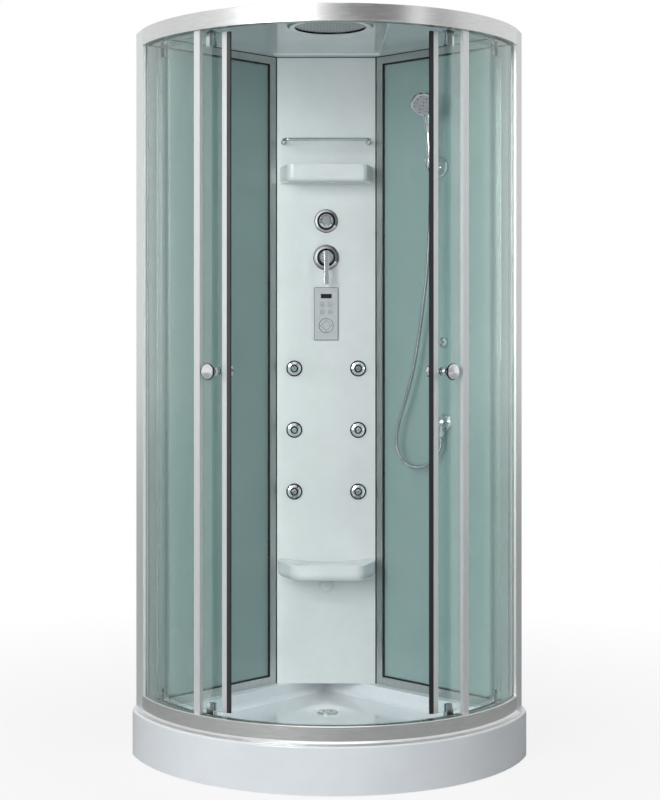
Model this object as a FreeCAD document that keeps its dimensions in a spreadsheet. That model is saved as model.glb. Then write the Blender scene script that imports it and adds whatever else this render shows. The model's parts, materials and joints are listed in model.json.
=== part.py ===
import FreeCAD, Part
import math
import os
import re
import Sketcher

# Corner shower cabin, millimetres. X to the right, Y to the back, Z up.
# The origin lies on the floor under the middle of the cabin. The front is an
# arc about a vertical line; two walls at 45 degrees close the back, and a
# column stands across their corner. Angles are counted from the front
# centre line, positive towards +X.

doc = FreeCAD.newDocument("Cabin")
sheet = doc.addObject("Spreadsheet::Sheet", "dims")
words = {}
pieces = []


def size(word, value, note):
    row = len(words) + 1
    sheet.set("A%d" % row, note)
    sheet.set("B%d" % row, str(value))
    sheet.setAlias("B%d" % row, word)
    words[word] = float(value)


# main sizes: the tops of the walls, rails and roof follow the height, and the
# tray's edges and corner follow the width and the depth
cabinHeight = 2150
cabinWidth = 1126
cabinDepth = 1028.6

# overall plan
size("arcCentreY", 75.7, "depth of the front arc's centre")
size("backCornerY", cabinDepth / 2, "depth of the room corner")
size("trayRadius", cabinWidth / 2 + 27, "outer radius of the tray front")
size("trayHalfWidth", cabinWidth / 2, "half of the tray width")
size("trayEdgeRound", 12, "upright corner radius of the tray")
size("trayRimRound", 5, "rounding of the tray's top edge")

# tray heights
size("skirtLow", 2.5, "lower edge of the skirt")
size("rimHigh", 130, "top of the rim under the bottom rail")
size("deckHigh", 114, "top of the ledge under the walls")
size("basinFloor", 70, "standing surface")
size("trayWall", 8, "thickness of the tray shell")
size("skirtWall", 6, "thickness of the skirt")
size("deckRadius", 488, "arc where the rim drops to the basin")
size("basinRadius", 478, "arc of the basin")
size("basinBack", 434, "distance of the basin's back edges along X plus Y")
size("basinRound", 16, "rounding at the basin floor")

# drain
size("drainY", 126, "depth of the drain")
size("drainSeat", 36, "radius of the recess for the drain flange")
size("drainBore", 27, "radius of the hole in the floor")
size("drainFlange", 2, "thickness of the drain flange")
size("drainCup", 38, "radius of the trap")
size("drainCupLow", 12, "underside of the trap")
size("wastePipe", 20, "radius of the waste outlet")
size("wasteEndY", 216, "end of the waste outlet")
size("wasteHigh", 34, "height of the waste outlet's axis")
size("coverRadius", 31, "radius of the drain cover")
size("coverThick", 3, "thickness of the drain cover")
size("coverGap", 0.3, "clearance under and around the cover's spigot")

# steel frame and feet
size("barWide", 30, "width of the frame tubes")
size("barHigh", 24, "height of the frame tubes")
size("barWall", 2, "wall of the frame tubes")
size("barFrontY", -330, "front cross tube")
size("barMidY", -60, "middle cross tube")
size("barBackY", 240, "rear cross tube")
size("barFrontHalf", 300, "half length of the front cross tube")
size("barMidHalf", 480, "half length of the middle cross tube")
size("barBackHalf", 150, "half length of the rear cross tube")
size("barRunX", 110, "distance of the long tubes from the middle")
size("footInset", 22, "distance of a foot from the tube end")
size("footPad", 22, "radius of a foot pad")
size("footPadHigh", 8, "height of a foot pad")
size("footStud", 5, "radius of a foot stud")
size("footNut", 9, "radius of the lock nut")
size("footNutHigh", 7, "height of the lock nut")

# rails
size("railOuter", 570, "outer radius of the rails")
size("railInner", 500, "inner radius of the rails")
size("railHigh", 48, "height of a rail")
size("topRailLow", cabinHeight - 124, "underside of the top rail")
size("railEnd", 68.9, "angle where the rails end")
size("footFlare", 12, "how far the bottom rail's foot spreads")
size("railBox", 545, "inner radius of the rail's front chamber")
size("railWeb", 8, "thickness of the bottom rail's flat web")
size("topWeb", 4.5, "thickness of the top rail's flat web")
size("glassFix", 556, "radius of the fixed glass, middle of the sheet")
size("doorRadius", 515, "radius of the door glass, middle of the sheet")
size("glassThick", 6, "thickness of the curved glass")
size("slotGap", 0.3, "clearance beside glass in a slot")
size("slotDeep", 18, "depth of the glass slot in a rail")
size("ribHigh", 32, "height of the door guide rib")
size("ribWide", 3, "thickness of the guide rib")
size("trackWide", 12.5, "width of the wheel track with its web")
size("trackDrop", 37, "how far the wheel track hangs below the rail top")
size("trackThick", 3, "thickness of the wheel track")

# fixed glass, trims, jambs
size("trimStart", 39.3, "angle of the trim's free edge")
size("trimEnd", 41.5, "angle of the trim's glass side")
size("trimDeep", 12, "depth of the trim in the radial direction")
size("trimGrip", 0.6, "angle of glass edge outside the slot in a trim")
size("finThick", 2, "thickness of the soft fin")
size("finReach", 25.2, "how far the fin reaches inwards")
size("finSweep", 1.1, "angle the fin covers")
size("sealStart", 70.3, "angle where the jamb gasket starts")
size("sealEnd", 71.65, "angle where the jamb gasket ends")
size("jambLip", 7.5, "thickness of the jamb's front lip")
size("jambRadius", 568, "radius of the jamb's front corner")
size("jambStep", 71.75, "angle where the jamb turns thick")
size("jambThick", 30, "thickness of the jamb at the wall")
size("jambFit", 0.4, "gap between jamb and wall frame")

# back walls
size("wallStart", 250, "distance from the room corner to the wall frame")
size("wallEnd", 788.6, "far end of the wall frame")
size("wallDeep", 28, "depth of the wall frame")
size("wallTop", cabinHeight - 82, "top of the wall frames and of the column")
size("frameEdge", 24, "visible width of a frame bar")
size("gasketEdge", 5, "visible width of the black gasket")
size("gasketDeep", 12, "depth of the gasket")
size("wallGlass", 5, "thickness of the back glass")
size("glassBed", 3, "glass edge held in the gasket")

# column
size("columnY", 320, "depth of the column's face")
size("columnHalf", 155, "half width of the column's face")
size("panelThick", 4, "thickness of the moulded column")
size("shelfHigh", 51, "height of the upper shelf")
size("shelfTop", 1724, "top of the upper shelf")
size("shelfRoot", 146, "half width of the upper shelf at the column")
size("shelfFront", 119.5, "half width of the upper shelf at the front")
size("shelfDeep", 105, "how far the upper shelf stands out")
size("shelfRound", 24, "corner radius of the upper shelf")
size("shelfDish", 12, "depth of the dish in the shelf")
size("shelfWall", 5, "wall of the shelf and the seat")
size("seatHigh", 49, "height of the lower ledge")
size("seatTop", 504, "top of the lower ledge")
size("seatRoot", 150, "half width of the lower ledge at the column")
size("seatFront", 104, "half width of the lower ledge at the front")
size("seatDeep", 160, "how far the lower ledge stands out")
size("seatSide", 66, "depth where the ledge's sides turn in")
size("seatCorner", 40, "upright corner radius of the ledge")
size("seatRound", 22, "lower edge radius of the ledge")
size("seatDish", 9, "depth of the scoop in the ledge")

# towel rail
size("towelZ", 1801, "height of the towel rail")
size("towelHalf", 132, "half length of the towel rail")
size("towelReach", 92, "how far the towel rail stands out")
size("towelRod", 5, "radius of the towel rail")
size("towelBend", 18, "bend radius of the towel rail")
size("towelRose", 9, "radius of the towel rail's rosettes")
size("towelRoseThick", 4, "thickness of the towel rail's rosettes")

# valves
size("mixerZ", 1442.6, "height of the mixer")
size("diverterZ", 1556.5, "height of the diverter")
size("mixerPlate", 40, "radius of the mixer escutcheon")
size("diverterPlate", 36.5, "radius of the diverter escutcheon")
size("plateThick", 7, "thickness of an escutcheon")
size("spigot", 11, "radius of a valve spigot")
size("plateBore", 11.3, "bore of an escutcheon")
size("valveHole", 16, "radius of a valve's hole in the column")
size("chamber", 24, "radius of the mixer chamber")
size("chamberDeep", 42, "depth of a valve chamber")
size("inletRadius", 10.5, "radius of the hot and cold inlets")
size("inletReach", 46, "distance of an inlet from the middle")
size("inletLong", 28, "length of an inlet's free end")
size("inletCollar", 14, "radius of the shoulder behind an inlet")
size("inletBore", 7, "bore of an inlet")
size("hubRadius", 22, "radius of the mixer hub")
size("hubDeep", 26, "depth of the mixer hub")
size("turnGap", 0.4, "gap behind a turning part")
size("leverWide", 15.6, "width of the mixer lever")
size("leverThick", 8, "thickness of the mixer lever")
size("leverUp", 20, "lever above its pivot")
size("leverDown", 84.6, "lever below its pivot")
size("leverGap", 7, "gap between hub and lever")
size("leverPin", 3, "radius of the lever's pivot pin")
size("pinFit", 0.05, "radial running clearance of a pin")
size("leverPinDeep", 9, "depth of the pivot behind the hub's front")
size("tongueWide", 8, "width of the lever's tongue")
size("tongueFit", 0.3, "side clearance of the tongue")
size("knobRadius", 20.3, "radius of the diverter knob")
size("knobDeep", 26, "depth of the diverter knob")

# control unit
size("fasciaHalf", 37.5, "half width of the control unit")
size("fasciaLow", 1185, "lower edge of the control unit")
size("fasciaTop", 1350, "upper edge of the control unit")
size("fasciaThick", 4, "how far the control unit stands out")
size("fasciaRound", 3, "corner radius of the control unit")
size("boxInset", 5, "inset of the control unit's housing")
size("boxDeep", 26, "depth of the control unit's housing")
size("displayHalf", 17, "half width of the display")
size("displayHigh", 14, "height of the display")
size("displayZ", 1322.4, "height of the display's middle")
size("displayThick", 2, "thickness of the display window")
size("keyRadius", 6, "radius of a key")
size("keyX", 12.3, "distance of the keys from the middle")
size("keyUpperZ", 1296.2, "height of the upper keys")
size("keyLowerZ", 1272.5, "height of the lower keys")
size("keyLong", 9, "length of a key")
size("keyProud", 1.4, "how far a key stands proud")
size("keyWell", 11, "depth of a key's well")
size("keyGap", 0.3, "clearance round a key")
size("padRadius", 21.8, "radius of the ring pad")
size("padZ", 1230.2, "height of the ring pad")

# jets
size("jetX", 99.5, "distance of the jets from the middle")
size("jetUpperZ", 1096.7, "height of the upper jets")
size("jetMiddleZ", 905.2, "height of the middle jets")
size("jetLowerZ", 712.8, "height of the lower jets")
size("jetFlange", 25, "radius of a jet's flange")
size("jetProud", 9, "how far a jet's flange stands out")
size("jetTube", 14, "radius of a jet's body")
size("jetDeep", 34, "depth of a jet's body behind the face")
size("jetBore", 8, "bore of a jet's body")
size("jetBall", 11, "radius of a jet's ball")
size("ballGap", 0.3, "clearance round a ball")
size("ballIn", 2, "ball centre in front of the column's face")
size("jetMouth", 9.2, "opening in front of a ball")
size("jetTip", 5, "radius of a jet's tip")
size("jetTipOut", 14, "jet tip in front of the ball's centre")
size("jetHole", 2.4, "bore of a jet's tip")

# pipework behind the column
size("pipeRadius", 6, "radius of the water pipes")
size("pipeY", 345, "depth of the pipes behind the column")
size("feedRadius", 4.8, "radius of the overhead shower's feed pipe")
size("feedZ", cabinHeight - 66, "height of the feed pipe over the ceiling")
size("feedBend", 14, "bend radius of the feed pipe")
size("steamPipe", 9, "radius of the steam pipe")
size("steamZ", 420, "height of the steam outlet")
size("steamNose", 22, "radius of the steam outlet's cap")
size("boilerHalf", 68, "half width of the steam generator")
size("boilerLow", 540, "underside of the steam generator")
size("boilerTop", 690, "top of the steam generator")
size("boilerDeep", 84, "depth of the steam generator")

# roof
size("roofThick", 4, "thickness of the roof skins")
size("roofEdge", 544.5, "radius of the roof's front edge")
size("roofBack", 513.2, "distance of the roof's back edges along X plus Y")
size("panelHalf", 165, "half width of the raised ceiling panel")
size("panelFrontY", -350, "front of the raised ceiling panel")
size("panelStep", 7, "height of the ceiling step")
size("tierRadius", 468, "radius of the roof's lower tier")
size("tierHigh", cabinHeight - 56, "top of the roof's lower tier")
size("tierBack", 500, "distance of the tiers' back edges along X plus Y")
size("crownRadius", 290, "radius of the roof's upper tier")
size("crownY", 190, "middle of the roof's upper tier")
size("roofTop", cabinHeight, "highest point of the roof")
size("roofRound", 9, "edge rounding of the roof tiers")

# overhead shower
size("overheadY", -225, "depth of the overhead shower")
size("overheadRing", 120, "radius of the overhead shower's ring")
size("overheadMesh", 98, "radius of the overhead shower's face")
size("overheadLow", cabinHeight - 93, "underside of the overhead shower's ring")
size("faceLift", 3, "how far the face sits above the ring's underside")
size("faceThick", 3, "thickness of the face")
size("faceFit", 0.3, "clearance round the face")

# doors
size("openRight", 30.85, "angle of the open right door's seal edge")
size("openLeft", 31.82, "angle of the open left door's seal edge")
size("doorSweep", 40.2, "angle covered by a door")
size("sealSweep", 1.1, "angle covered by the magnetic seal")
size("stripSweep", 1.7, "angle covered by the edge strip")
size("stripGrip", 0.8, "angle of glass held in the strip")
size("stripDeep", 11, "depth of the strip in the radial direction")
size("doorLow", 182, "lower edge of the door glass")
size("doorTop", cabinHeight - 128, "upper edge of the door glass")
size("knobZ", 1104, "height of the door knobs")
size("knobSweep", 5.05, "angle from seal edge to knob")
size("discRadius", 22.5, "radius of a knob's disc")
size("discThick", 10, "thickness of a knob's disc")
size("neckRadius", 10.5, "radius of a knob's neck")
size("collarRadius", 12, "radius of a knob's collar on the glass")
size("collarGap", 0.2, "gap between the inner collar's middle and the curved glass")
size("neckLong", 34, "length of a knob's neck")
size("boltRadius", 4, "radius of the knob's bolt")
size("glassBore", 4.3, "radius of the hole in the glass")
size("hangerFirst", 7.3, "angle from seal edge to the first hanger")
size("hangerLast", 32, "angle from seal edge to the second hanger")
size("hangerSweep", 2.8, "angle covered by a hanger")
size("clampThick", 6, "thickness of a hanger's clamp plate")
size("clampHigh", 34, "height of a hanger's clamp plates")
size("bridgeHigh", 7, "height of a hanger's bridge")
size("uprightHalf", 1.5, "half thickness of a hanger's upright")
size("uprightIn", 1.6, "upright's middle outside the glass middle")
size("uprightSweep", 1.7, "angle covered by a hanger's upright")
size("axleRadius", 3.5, "radius of a wheel axle")
size("axleHead", 5, "radius of the axle's head")
size("wheelRadius", 11, "radius of a roller wheel")
size("wheelWide", 7, "width of a roller wheel")
size("wheelGap", 0.3, "clearance over the track")
size("shoeRib", 1, "clearance between shoe and guide rib")
size("shoeThick", 5, "thickness of a guide shoe's cheek")
size("shoeHigh", 42, "height of a guide shoe")
size("shoeSweep", 2.6, "angle covered by a guide shoe")

# wall fittings on the right wall: distance from the room corner along the
# wall, then how far they stand off its inner face
size("holderS", 506, "handset holder along the wall")
size("holderZ", 1706.4, "height of the handset holder")
size("holderPlate", 31, "radius of the holder's rosette")
size("holderPlateThick", 8, "thickness of the holder's rosette")
size("holderPivot", 26, "pivot of the holder arm off the wall")
size("holderStem", 8, "radius of the holder's knuckle")
size("holderNeck", 4.8, "radius of the holder's neck")
size("cheekThick", 4, "thickness of the holder arm's cheeks")
size("cupWall", 5, "wall of the holder's cup")
size("cupHigh", 26, "height of the holder's cup")
size("hookS", 519.7, "spare hook along the wall")
size("hookZ", 1180.5, "height of the spare hook")
size("hookPlate", 15, "radius of the spare hook's rosette")
size("elbowS", 527.6, "hose outlet along the wall")
size("elbowZ", 940.6, "height of the hose outlet")
size("elbowPlate", 25, "radius of the hose outlet's rosette")
size("elbowReach", 20, "hose outlet's pipe off the wall")
size("nutRadius", 9, "radius of a hose nut")
size("nutLong", 16, "length of a hose nut")
size("nutLow", 896, "lower end of the outlet's nut")
size("hoseRadius", 6, "radius of the shower hose")

# handset
size("handleLow", 1700, "lower end of the handset's handle")
size("handleS", 511.5, "handset's lower end along the wall")
size("handleOff", 50.7, "handset's lower end off the wall")
size("handleTurn", 2.2, "sideways lean of the handle")
size("handleLean", 7.6, "lean of the handle into the cabin")
size("handleLong", 124, "length of the handle")
size("handleThin", 8.5, "radius of the handle")
size("headRadius", 41, "radius of the handset's head")
size("headThick", 20, "thickness of the handset's head")
size("headUp", 190, "head's middle above the handle's lower end")
size("headOut", 20, "head's middle in front of the handle's axis")
size("headTilt", 30, "tilt of the head from the handle's axis")
size("headYaw", 26, "turn of the handset about its handle")

# screws of the roof
size("screwHead", 4, "radius of a screw head")
size("screwHeadHigh", 2.4, "height of a screw head")
size("screwShank", 2, "radius of a screw shank")
size("screwLong", 8.5, "length of a screw shank")
size("screwFit", 0.15, "clearance round a screw")
size("screwRadius", 522, "radius of the screw row")
size("screwStep", 15, "angle between screws")

doc.recompute()


def link(text):
    return re.sub(r"[A-Za-z_]\w*", lambda m: "dims." + m.group(0)
                  if m.group(0) in words else m.group(0), str(text))


probe = doc.addObject("Part::Box", "probe")


def number(text):
    # the value of an expression over the named sizes, angles in degrees
    probe.setExpression("Placement.Base.x", link(text))
    probe.recompute()
    return probe.Placement.Base.x


def tie(thing, **links):
    for path, text in links.items():
        thing.setExpression(path.replace("_", "."), link(text))


def place(thing, x="0", y="0", z="0", yaw="0", roll=0):
    thing.Placement = FreeCAD.Placement(FreeCAD.Vector(0, 0, 0),
                                        FreeCAD.Rotation(10, 0, roll))
    tie(thing, Placement_Base_x=x, Placement_Base_y=y, Placement_Base_z=z)
    tie(thing, Placement_Rotation_Yaw=yaw)
    return thing


def box(name, x0, x1, y0, y1, z0, z1):
    solid = doc.addObject("Part::Box", name)
    tie(solid, Length="(%s) - (%s)" % (x1, x0), Width="(%s) - (%s)" % (y1, y0),
        Height="(%s) - (%s)" % (z1, z0))
    tie(solid, Placement_Base_x=x0, Placement_Base_y=y0, Placement_Base_z=z0)
    return solid


def post(name, radius, z0, z1, x="0", y="0"):
    solid = doc.addObject("Part::Cylinder", name)
    tie(solid, Radius=radius, Height="(%s) - (%s)" % (z1, z0))
    tie(solid, Placement_Base_x=x, Placement_Base_y=y, Placement_Base_z=z0)
    return solid


def rod(name, radius, length, x, y, z, yaw="0", roll=90):
    # a lying cylinder from (x, y, z) towards -Y at yaw 0, or +Y with roll -90
    solid = doc.addObject("Part::Cylinder", name)
    tie(solid, Radius=radius, Height=length)
    return place(solid, x, y, z, yaw, roll)


def wall_box(name, s0, s1, t0, t1, z0, z1):
    # a block in the right wall: s along the wall, t inwards from its outside
    solid = doc.addObject("Part::Box", name)
    tie(solid, Length="(%s) - (%s)" % (s1, s0), Width="(%s) - (%s)" % (t1, t0),
        Height="(%s) - (%s)" % (z1, z0))
    return place(solid, "((%s) - (%s)) * cos(45)" % (s0, t1),
                 "backCornerY - ((%s) + (%s)) * cos(45)" % (s0, t1), z0, "-45")


def cut(name, base, *tools):
    solid = doc.addObject("Part::Cut", name)
    solid.Base = base
    if len(tools) == 1:
        solid.Tool = tools[0]
    else:
        joined = doc.addObject("Part::MultiFuse", name + "_tools")
        joined.Shapes = list(tools)
        solid.Tool = joined
    return solid


def join(name, *parts):
    solid = doc.addObject("Part::MultiFuse", name)
    solid.Shapes = list(parts)
    return solid


def common(name, *parts):
    solid = doc.addObject("Part::MultiCommon", name)
    solid.Shapes = list(parts)
    return solid


def group(name, *parts):
    whole = doc.addObject("Part::Compound", name)
    whole.Links = list(parts)
    return whole


def flip(name, source):
    other = doc.addObject("Part::Mirroring", name)
    other.Source = source
    other.Normal = (1, 0, 0)
    return other


def outline(sketch, points):
    # a closed outline whose corners are bound to expressions
    count = len(points)
    spots = []
    for across, up in points:
        spots.append(FreeCAD.Vector(number(across), number(up), 0))
    for i in range(count):
        sketch.addGeometry(Part.LineSegment(spots[i], spots[(i + 1) % count]), False)
    for i in range(count):
        sketch.addConstraint(Sketcher.Constraint("Coincident", i, 2, (i + 1) % count, 1))
    for i, (across, up) in enumerate(points):
        for kind, text, value in (("DistanceX", across, spots[i].x),
                                  ("DistanceY", up, spots[i].y)):
            index = sketch.addConstraint(Sketcher.Constraint(kind, -1, 1, i, 1, value))
            sketch.setExpression("Constraints[%d]" % index, link(text))


def plane(body, role):
    return [f for f in body.Origin.OriginFeatures if f.Role == role][0]


def turned(name, points, sweep="360"):
    # an outline of (radius, height) turned about the body's own Z axis
    body = doc.addObject("PartDesign::Body", name)
    sketch = body.newObject("Sketcher::SketchObject", name + "_outline")
    sketch.AttachmentSupport = [(plane(body, "XZ_Plane"), "")]
    sketch.MapMode = "FlatFace"
    outline(sketch, points)
    turn = body.newObject("PartDesign::Revolution", name + "_turn")
    turn.Profile = sketch
    turn.ReferenceAxis = (sketch, ["V_Axis"])
    turn.Midplane = sweep != "360"
    if sweep == "360":
        turn.Angle = 360
    else:
        turn.setExpression("Angle", link(sweep))
    return body


def curved(name, points, start, end):
    # an outline turned about the front arc's centre line between two angles
    body = turned(name, points, "(%s) - (%s)" % (end, start))
    return place(body, "0", "arcCentreY", "0",
                 "-90 + ((%s) + (%s)) / 2" % (start, end))


def strip(name, inner, outer, low, high, start, end):
    return curved(name, [(inner, low), (outer, low), (outer, high), (inner, high)],
                  start, end)


def slab(name, points, low, high):
    # an outline in plan, padded from low to high
    body = doc.addObject("PartDesign::Body", name)
    sketch = body.newObject("Sketcher::SketchObject", name + "_plan")
    sketch.AttachmentSupport = [(plane(body, "XY_Plane"), "")]
    sketch.MapMode = "FlatFace"
    outline(sketch, points)
    pad = body.newObject("PartDesign::Pad", name + "_pad")
    pad.Profile = sketch
    pad.setExpression("Length", link("(%s) - (%s)" % (high, low)))
    tie(body, Placement_Base_z=low)
    return body


def rounded(name, base, radius, wanted):
    # fillets the edges of base for which wanted(edge) holds
    doc.recompute()
    picked = []
    for index, edge in enumerate(base.Shape.Edges):
        if wanted(edge):
            picked.append((index + 1, number(radius), number(radius)))
    solid = doc.addObject("Part::Fillet", name)
    solid.Base = base
    solid.Edges = picked
    doc.recompute()
    return solid


def upright(edge):
    size_of = edge.BoundBox
    return size_of.ZLength > 1 and size_of.XLength < 0.01 and size_of.YLength < 0.01


def at_height(z):
    return lambda edge: abs(edge.BoundBox.ZMin - z) < 0.01 and abs(edge.BoundBox.ZMax - z) < 0.01


def piece(label, thing):
    thing.Label = label
    pieces.append(thing)
    return thing


def square(name, reach, low, high):
    # the corner square whose back edges satisfy |x| + y = reach
    solid = doc.addObject("Part::Box", name)
    tie(solid, Length="1600", Width="1600", Height="(%s) - (%s)" % (high, low))
    return place(solid, "0", "(%s) - 1600 / cos(45)" % reach, low, "45")


def disc(name, radius, low, high):
    return post(name, radius, low, high, "0", "arcCentreY")


def polar(radius, angle):
    return ("(%s) * sin(%s)" % (radius, angle),
            "arcCentreY - (%s) * cos(%s)" % (radius, angle))


# ---------------------------------------------------------------- tray

trayBlock = common("trayBlock",
                   disc("trayArc", "trayRadius", "skirtLow", "rimHigh"),
                   square("traySquare", "backCornerY", "skirtLow", "rimHigh"),
                   box("traySides", "-trayHalfWidth", "trayHalfWidth", "-600", "600",
                       "skirtLow", "rimHigh"))


def side_corner(edge):
    return upright(edge) and edge.BoundBox.YMin < -0.1 * number("trayHalfWidth")


trayCorners = rounded("trayCorners", trayBlock, "trayEdgeRound", side_corner)


def rim_edge(edge):
    high = number("rimHigh")
    return at_height(high)(edge) and edge.BoundBox.YMin < -60


trayRimmed = rounded("trayRimmed", trayCorners, "trayRimRound", rim_edge)

wallFoot = wall_box("wallFoot", "-30", "wallEnd + 0.2", "-30", "wallDeep + 2",
                    "deckHigh", "rimHigh + 1")
basin = common("basin", disc("basinArc", "basinRadius", "basinFloor", "rimHigh + 1"),
               square("basinSquare", "basinBack", "basinFloor", "rimHigh + 1"))
basinSoft = rounded("basinSoft", basin, "basinRound",
                    lambda edge: at_height(number("basinFloor"))(edge))
underSkirt = common("underSkirt",
                    disc("underArc", "trayRadius - skirtWall", "-1", "deckHigh - trayWall"),
                    box("underSides", "-trayHalfWidth + skirtWall",
                        "trayHalfWidth - skirtWall", "-600", "600",
                        "-1", "deckHigh - trayWall"))
basinBlock = common("basinBlock",
                    disc("blockArc", "basinRadius + trayWall", "basinFloor - trayWall", "rimHigh"),
                    square("blockSquare", "basinBack + trayWall * 1.4",
                           "basinFloor - trayWall", "rimHigh"))
trayUnder = cut("trayUnder", underSkirt, basinBlock)
trayDeck = join("trayDeck", disc("deckArc", "deckRadius", "deckHigh", "rimHigh + 1"),
                wallFoot, flip("wallFootLeft", wallFoot),
                box("deckBack", "-600", "600", "20", "600", "deckHigh", "rimHigh + 1"))
tray = cut("trayBody", trayRimmed, trayDeck, basinSoft, trayUnder,
           post("drainHole", "drainBore", "0", "rimHigh", "0", "drainY"),
           post("drainRecess", "drainSeat", "basinFloor - drainFlange", "rimHigh",
                "0", "drainY"))
piece("tray", tray)

# drain trap hanging under the floor, with its outlet to the back corner
trapCup = post("trapCup", "drainCup", "drainCupLow", "basinFloor - trayWall", "0", "drainY")
trapThroat = post("trapThroat", "drainBore - 0.2", "drainCupLow + 4",
                  "basinFloor - drainFlange", "0", "drainY")
trapFlange = post("trapFlange", "drainSeat - 0.2", "basinFloor - drainFlange", "basinFloor",
                  "0", "drainY")
trapOutlet = rod("trapOutlet", "wastePipe", "wasteEndY - drainY", "0", "wasteEndY", "wasteHigh")
trapBore = rod("trapBore", "wastePipe - 2.5", "wasteEndY - drainY", "0",
               "wasteEndY + 0.01", "wasteHigh")
trapInside = post("trapInside", "drainBore - 3", "drainCupLow + 3", "basinFloor + 1",
                  "0", "drainY")
piece("drain_trap", cut("trapBody", join("trapJoined", trapCup, trapThroat, trapFlange,
                                         trapOutlet), trapInside, trapBore))

coverTop = turned("coverTop", [
    ("0", "0"), ("coverRadius", "0"), ("coverRadius", "coverThick * 0.6"),
    ("coverRadius - 1.5", "coverThick"), ("0", "coverThick")])
place(coverTop, "0", "drainY", "basinFloor + coverGap")
coverSpigot = turned("coverSpigot", [
    ("drainBore - 5.5", "-9"), ("drainBore - 3 - coverGap", "-9"),
    ("drainBore - 3 - coverGap", "0"), ("drainBore - 5.5", "0")])
place(coverSpigot, "0", "drainY", "basinFloor + coverGap")
coverSlots = []
for i in range(8):
    slot = box("coverSlot%d" % i, "-2", "2", "9", "18", "basinFloor - 1", "basinFloor + 9")
    turnSlot = FreeCAD.Rotation(FreeCAD.Vector(0, 0, 1), 45 * i)
    slot.Placement = FreeCAD.Placement(turnSlot.multVec(FreeCAD.Vector(-2, 9, 0)), turnSlot)
    slot.setExpression("Placement.Base.x", None)
    side = turnSlot.multVec(FreeCAD.Vector(-2, 9, 0))
    tie(slot, Placement_Base_x="%.6f" % side.x, Placement_Base_y="drainY + %.6f" % side.y)
    coverSlots.append(slot)
piece("drain_cover", cut("coverBody", join("coverJoined", coverTop, coverSpigot), *coverSlots))

# ------------------------------------------------- frame and feet

barTop = "basinFloor - trayWall"


def tube_bar(name, x0, x1, y0, y1, along):
    low = "basinFloor - trayWall - barHigh"
    outside = box(name, x0, x1, y0, y1, low, barTop)
    if along == "x":
        inside = box(name + "_in", x0 + " - 1", x1 + " + 1", y0 + " + barWall",
                     y1 + " - barWall", low + " + barWall", barTop + " - barWall")
    else:
        inside = box(name + "_in", x0 + " + barWall", x1 + " - barWall", y0 + " - 1",
                     y1 + " + 1", low + " + barWall", barTop + " - barWall")
    return cut(name + "_tube", outside, inside)


crossBars = []
for name, depth, half in (("barFront", "barFrontY", "barFrontHalf"),
                          ("barMid", "barMidY", "barMidHalf"),
                          ("barBack", "barBackY", "barBackHalf")):
    crossBars.append(tube_bar(name, "-" + half, half, depth + " - barWide / 2",
                              depth + " + barWide / 2", "x"))
for name, side in (("barLeft", "-"), ("barRight", "")):
    middle = side + "barRunX"
    for part, start, end in (("A", "barFrontY + barWide / 2", "barMidY - barWide / 2"),
                             ("B", "barMidY + barWide / 2", "barBackY - barWide / 2")):
        crossBars.append(tube_bar(name + part, middle + " - barWide / 2",
                                  middle + " + barWide / 2", start, end, "y"))
piece("tray_frame", join("frameJoined", *crossBars))

feet = []
footSpots = []
for depth, half in (("barFrontY", "barFrontHalf"), ("barMidY", "barMidHalf"),
                    ("barBackY", "barBackHalf")):
    footSpots.append(("-" + half + " + footInset", depth))
    footSpots.append((half + " - footInset", depth))
for i, (x, y) in enumerate(footSpots):
    under = "basinFloor - trayWall - barHigh"
    foot = turned("foot%d" % i, [
        ("0", "0"), ("footPad", "0"), ("footPad", "footPadHigh * 0.5"),
        ("footPad * 0.6", "footPadHigh"), ("footStud", "footPadHigh"),
        ("footStud", under + " - footNutHigh"), ("footNut", under + " - footNutHigh"),
        ("footNut", under), ("0", under)])
    feet.append(place(foot, x, y, "0"))
piece("foot_levellers", group("feetAll", *feet))

# ------------------------------------------------------------- rails

bottomTop = "rimHigh + railHigh"
piece("bottom_rail", curved("bottomRail", [
    ("railInner", "rimHigh"),
    ("railOuter + footFlare", "rimHigh"),
    ("railOuter + footFlare", "rimHigh + 2"),
    ("railOuter + footFlare * 0.4", "rimHigh + 4"),
    ("railOuter", "rimHigh + 9"),
    ("railOuter", bottomTop + " - 1.5"),
    ("railOuter - 1.5", bottomTop),
    ("glassFix + glassThick / 2 + slotGap", bottomTop),
    ("glassFix + glassThick / 2 + slotGap", bottomTop + " - slotDeep"),
    ("glassFix - glassThick / 2 - slotGap", bottomTop + " - slotDeep"),
    ("glassFix - glassThick / 2 - slotGap", bottomTop),
    ("railBox", bottomTop),
    ("railBox", "rimHigh + railWeb"),
    ("doorRadius + ribWide / 2", "rimHigh + railWeb"),
    ("doorRadius + ribWide / 2", "rimHigh + railWeb + ribHigh"),
    ("doorRadius - ribWide / 2", "rimHigh + railWeb + ribHigh"),
    ("doorRadius - ribWide / 2", "rimHigh + railWeb"),
    ("railInner", "rimHigh + railWeb")], "-railEnd", "railEnd"))

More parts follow.
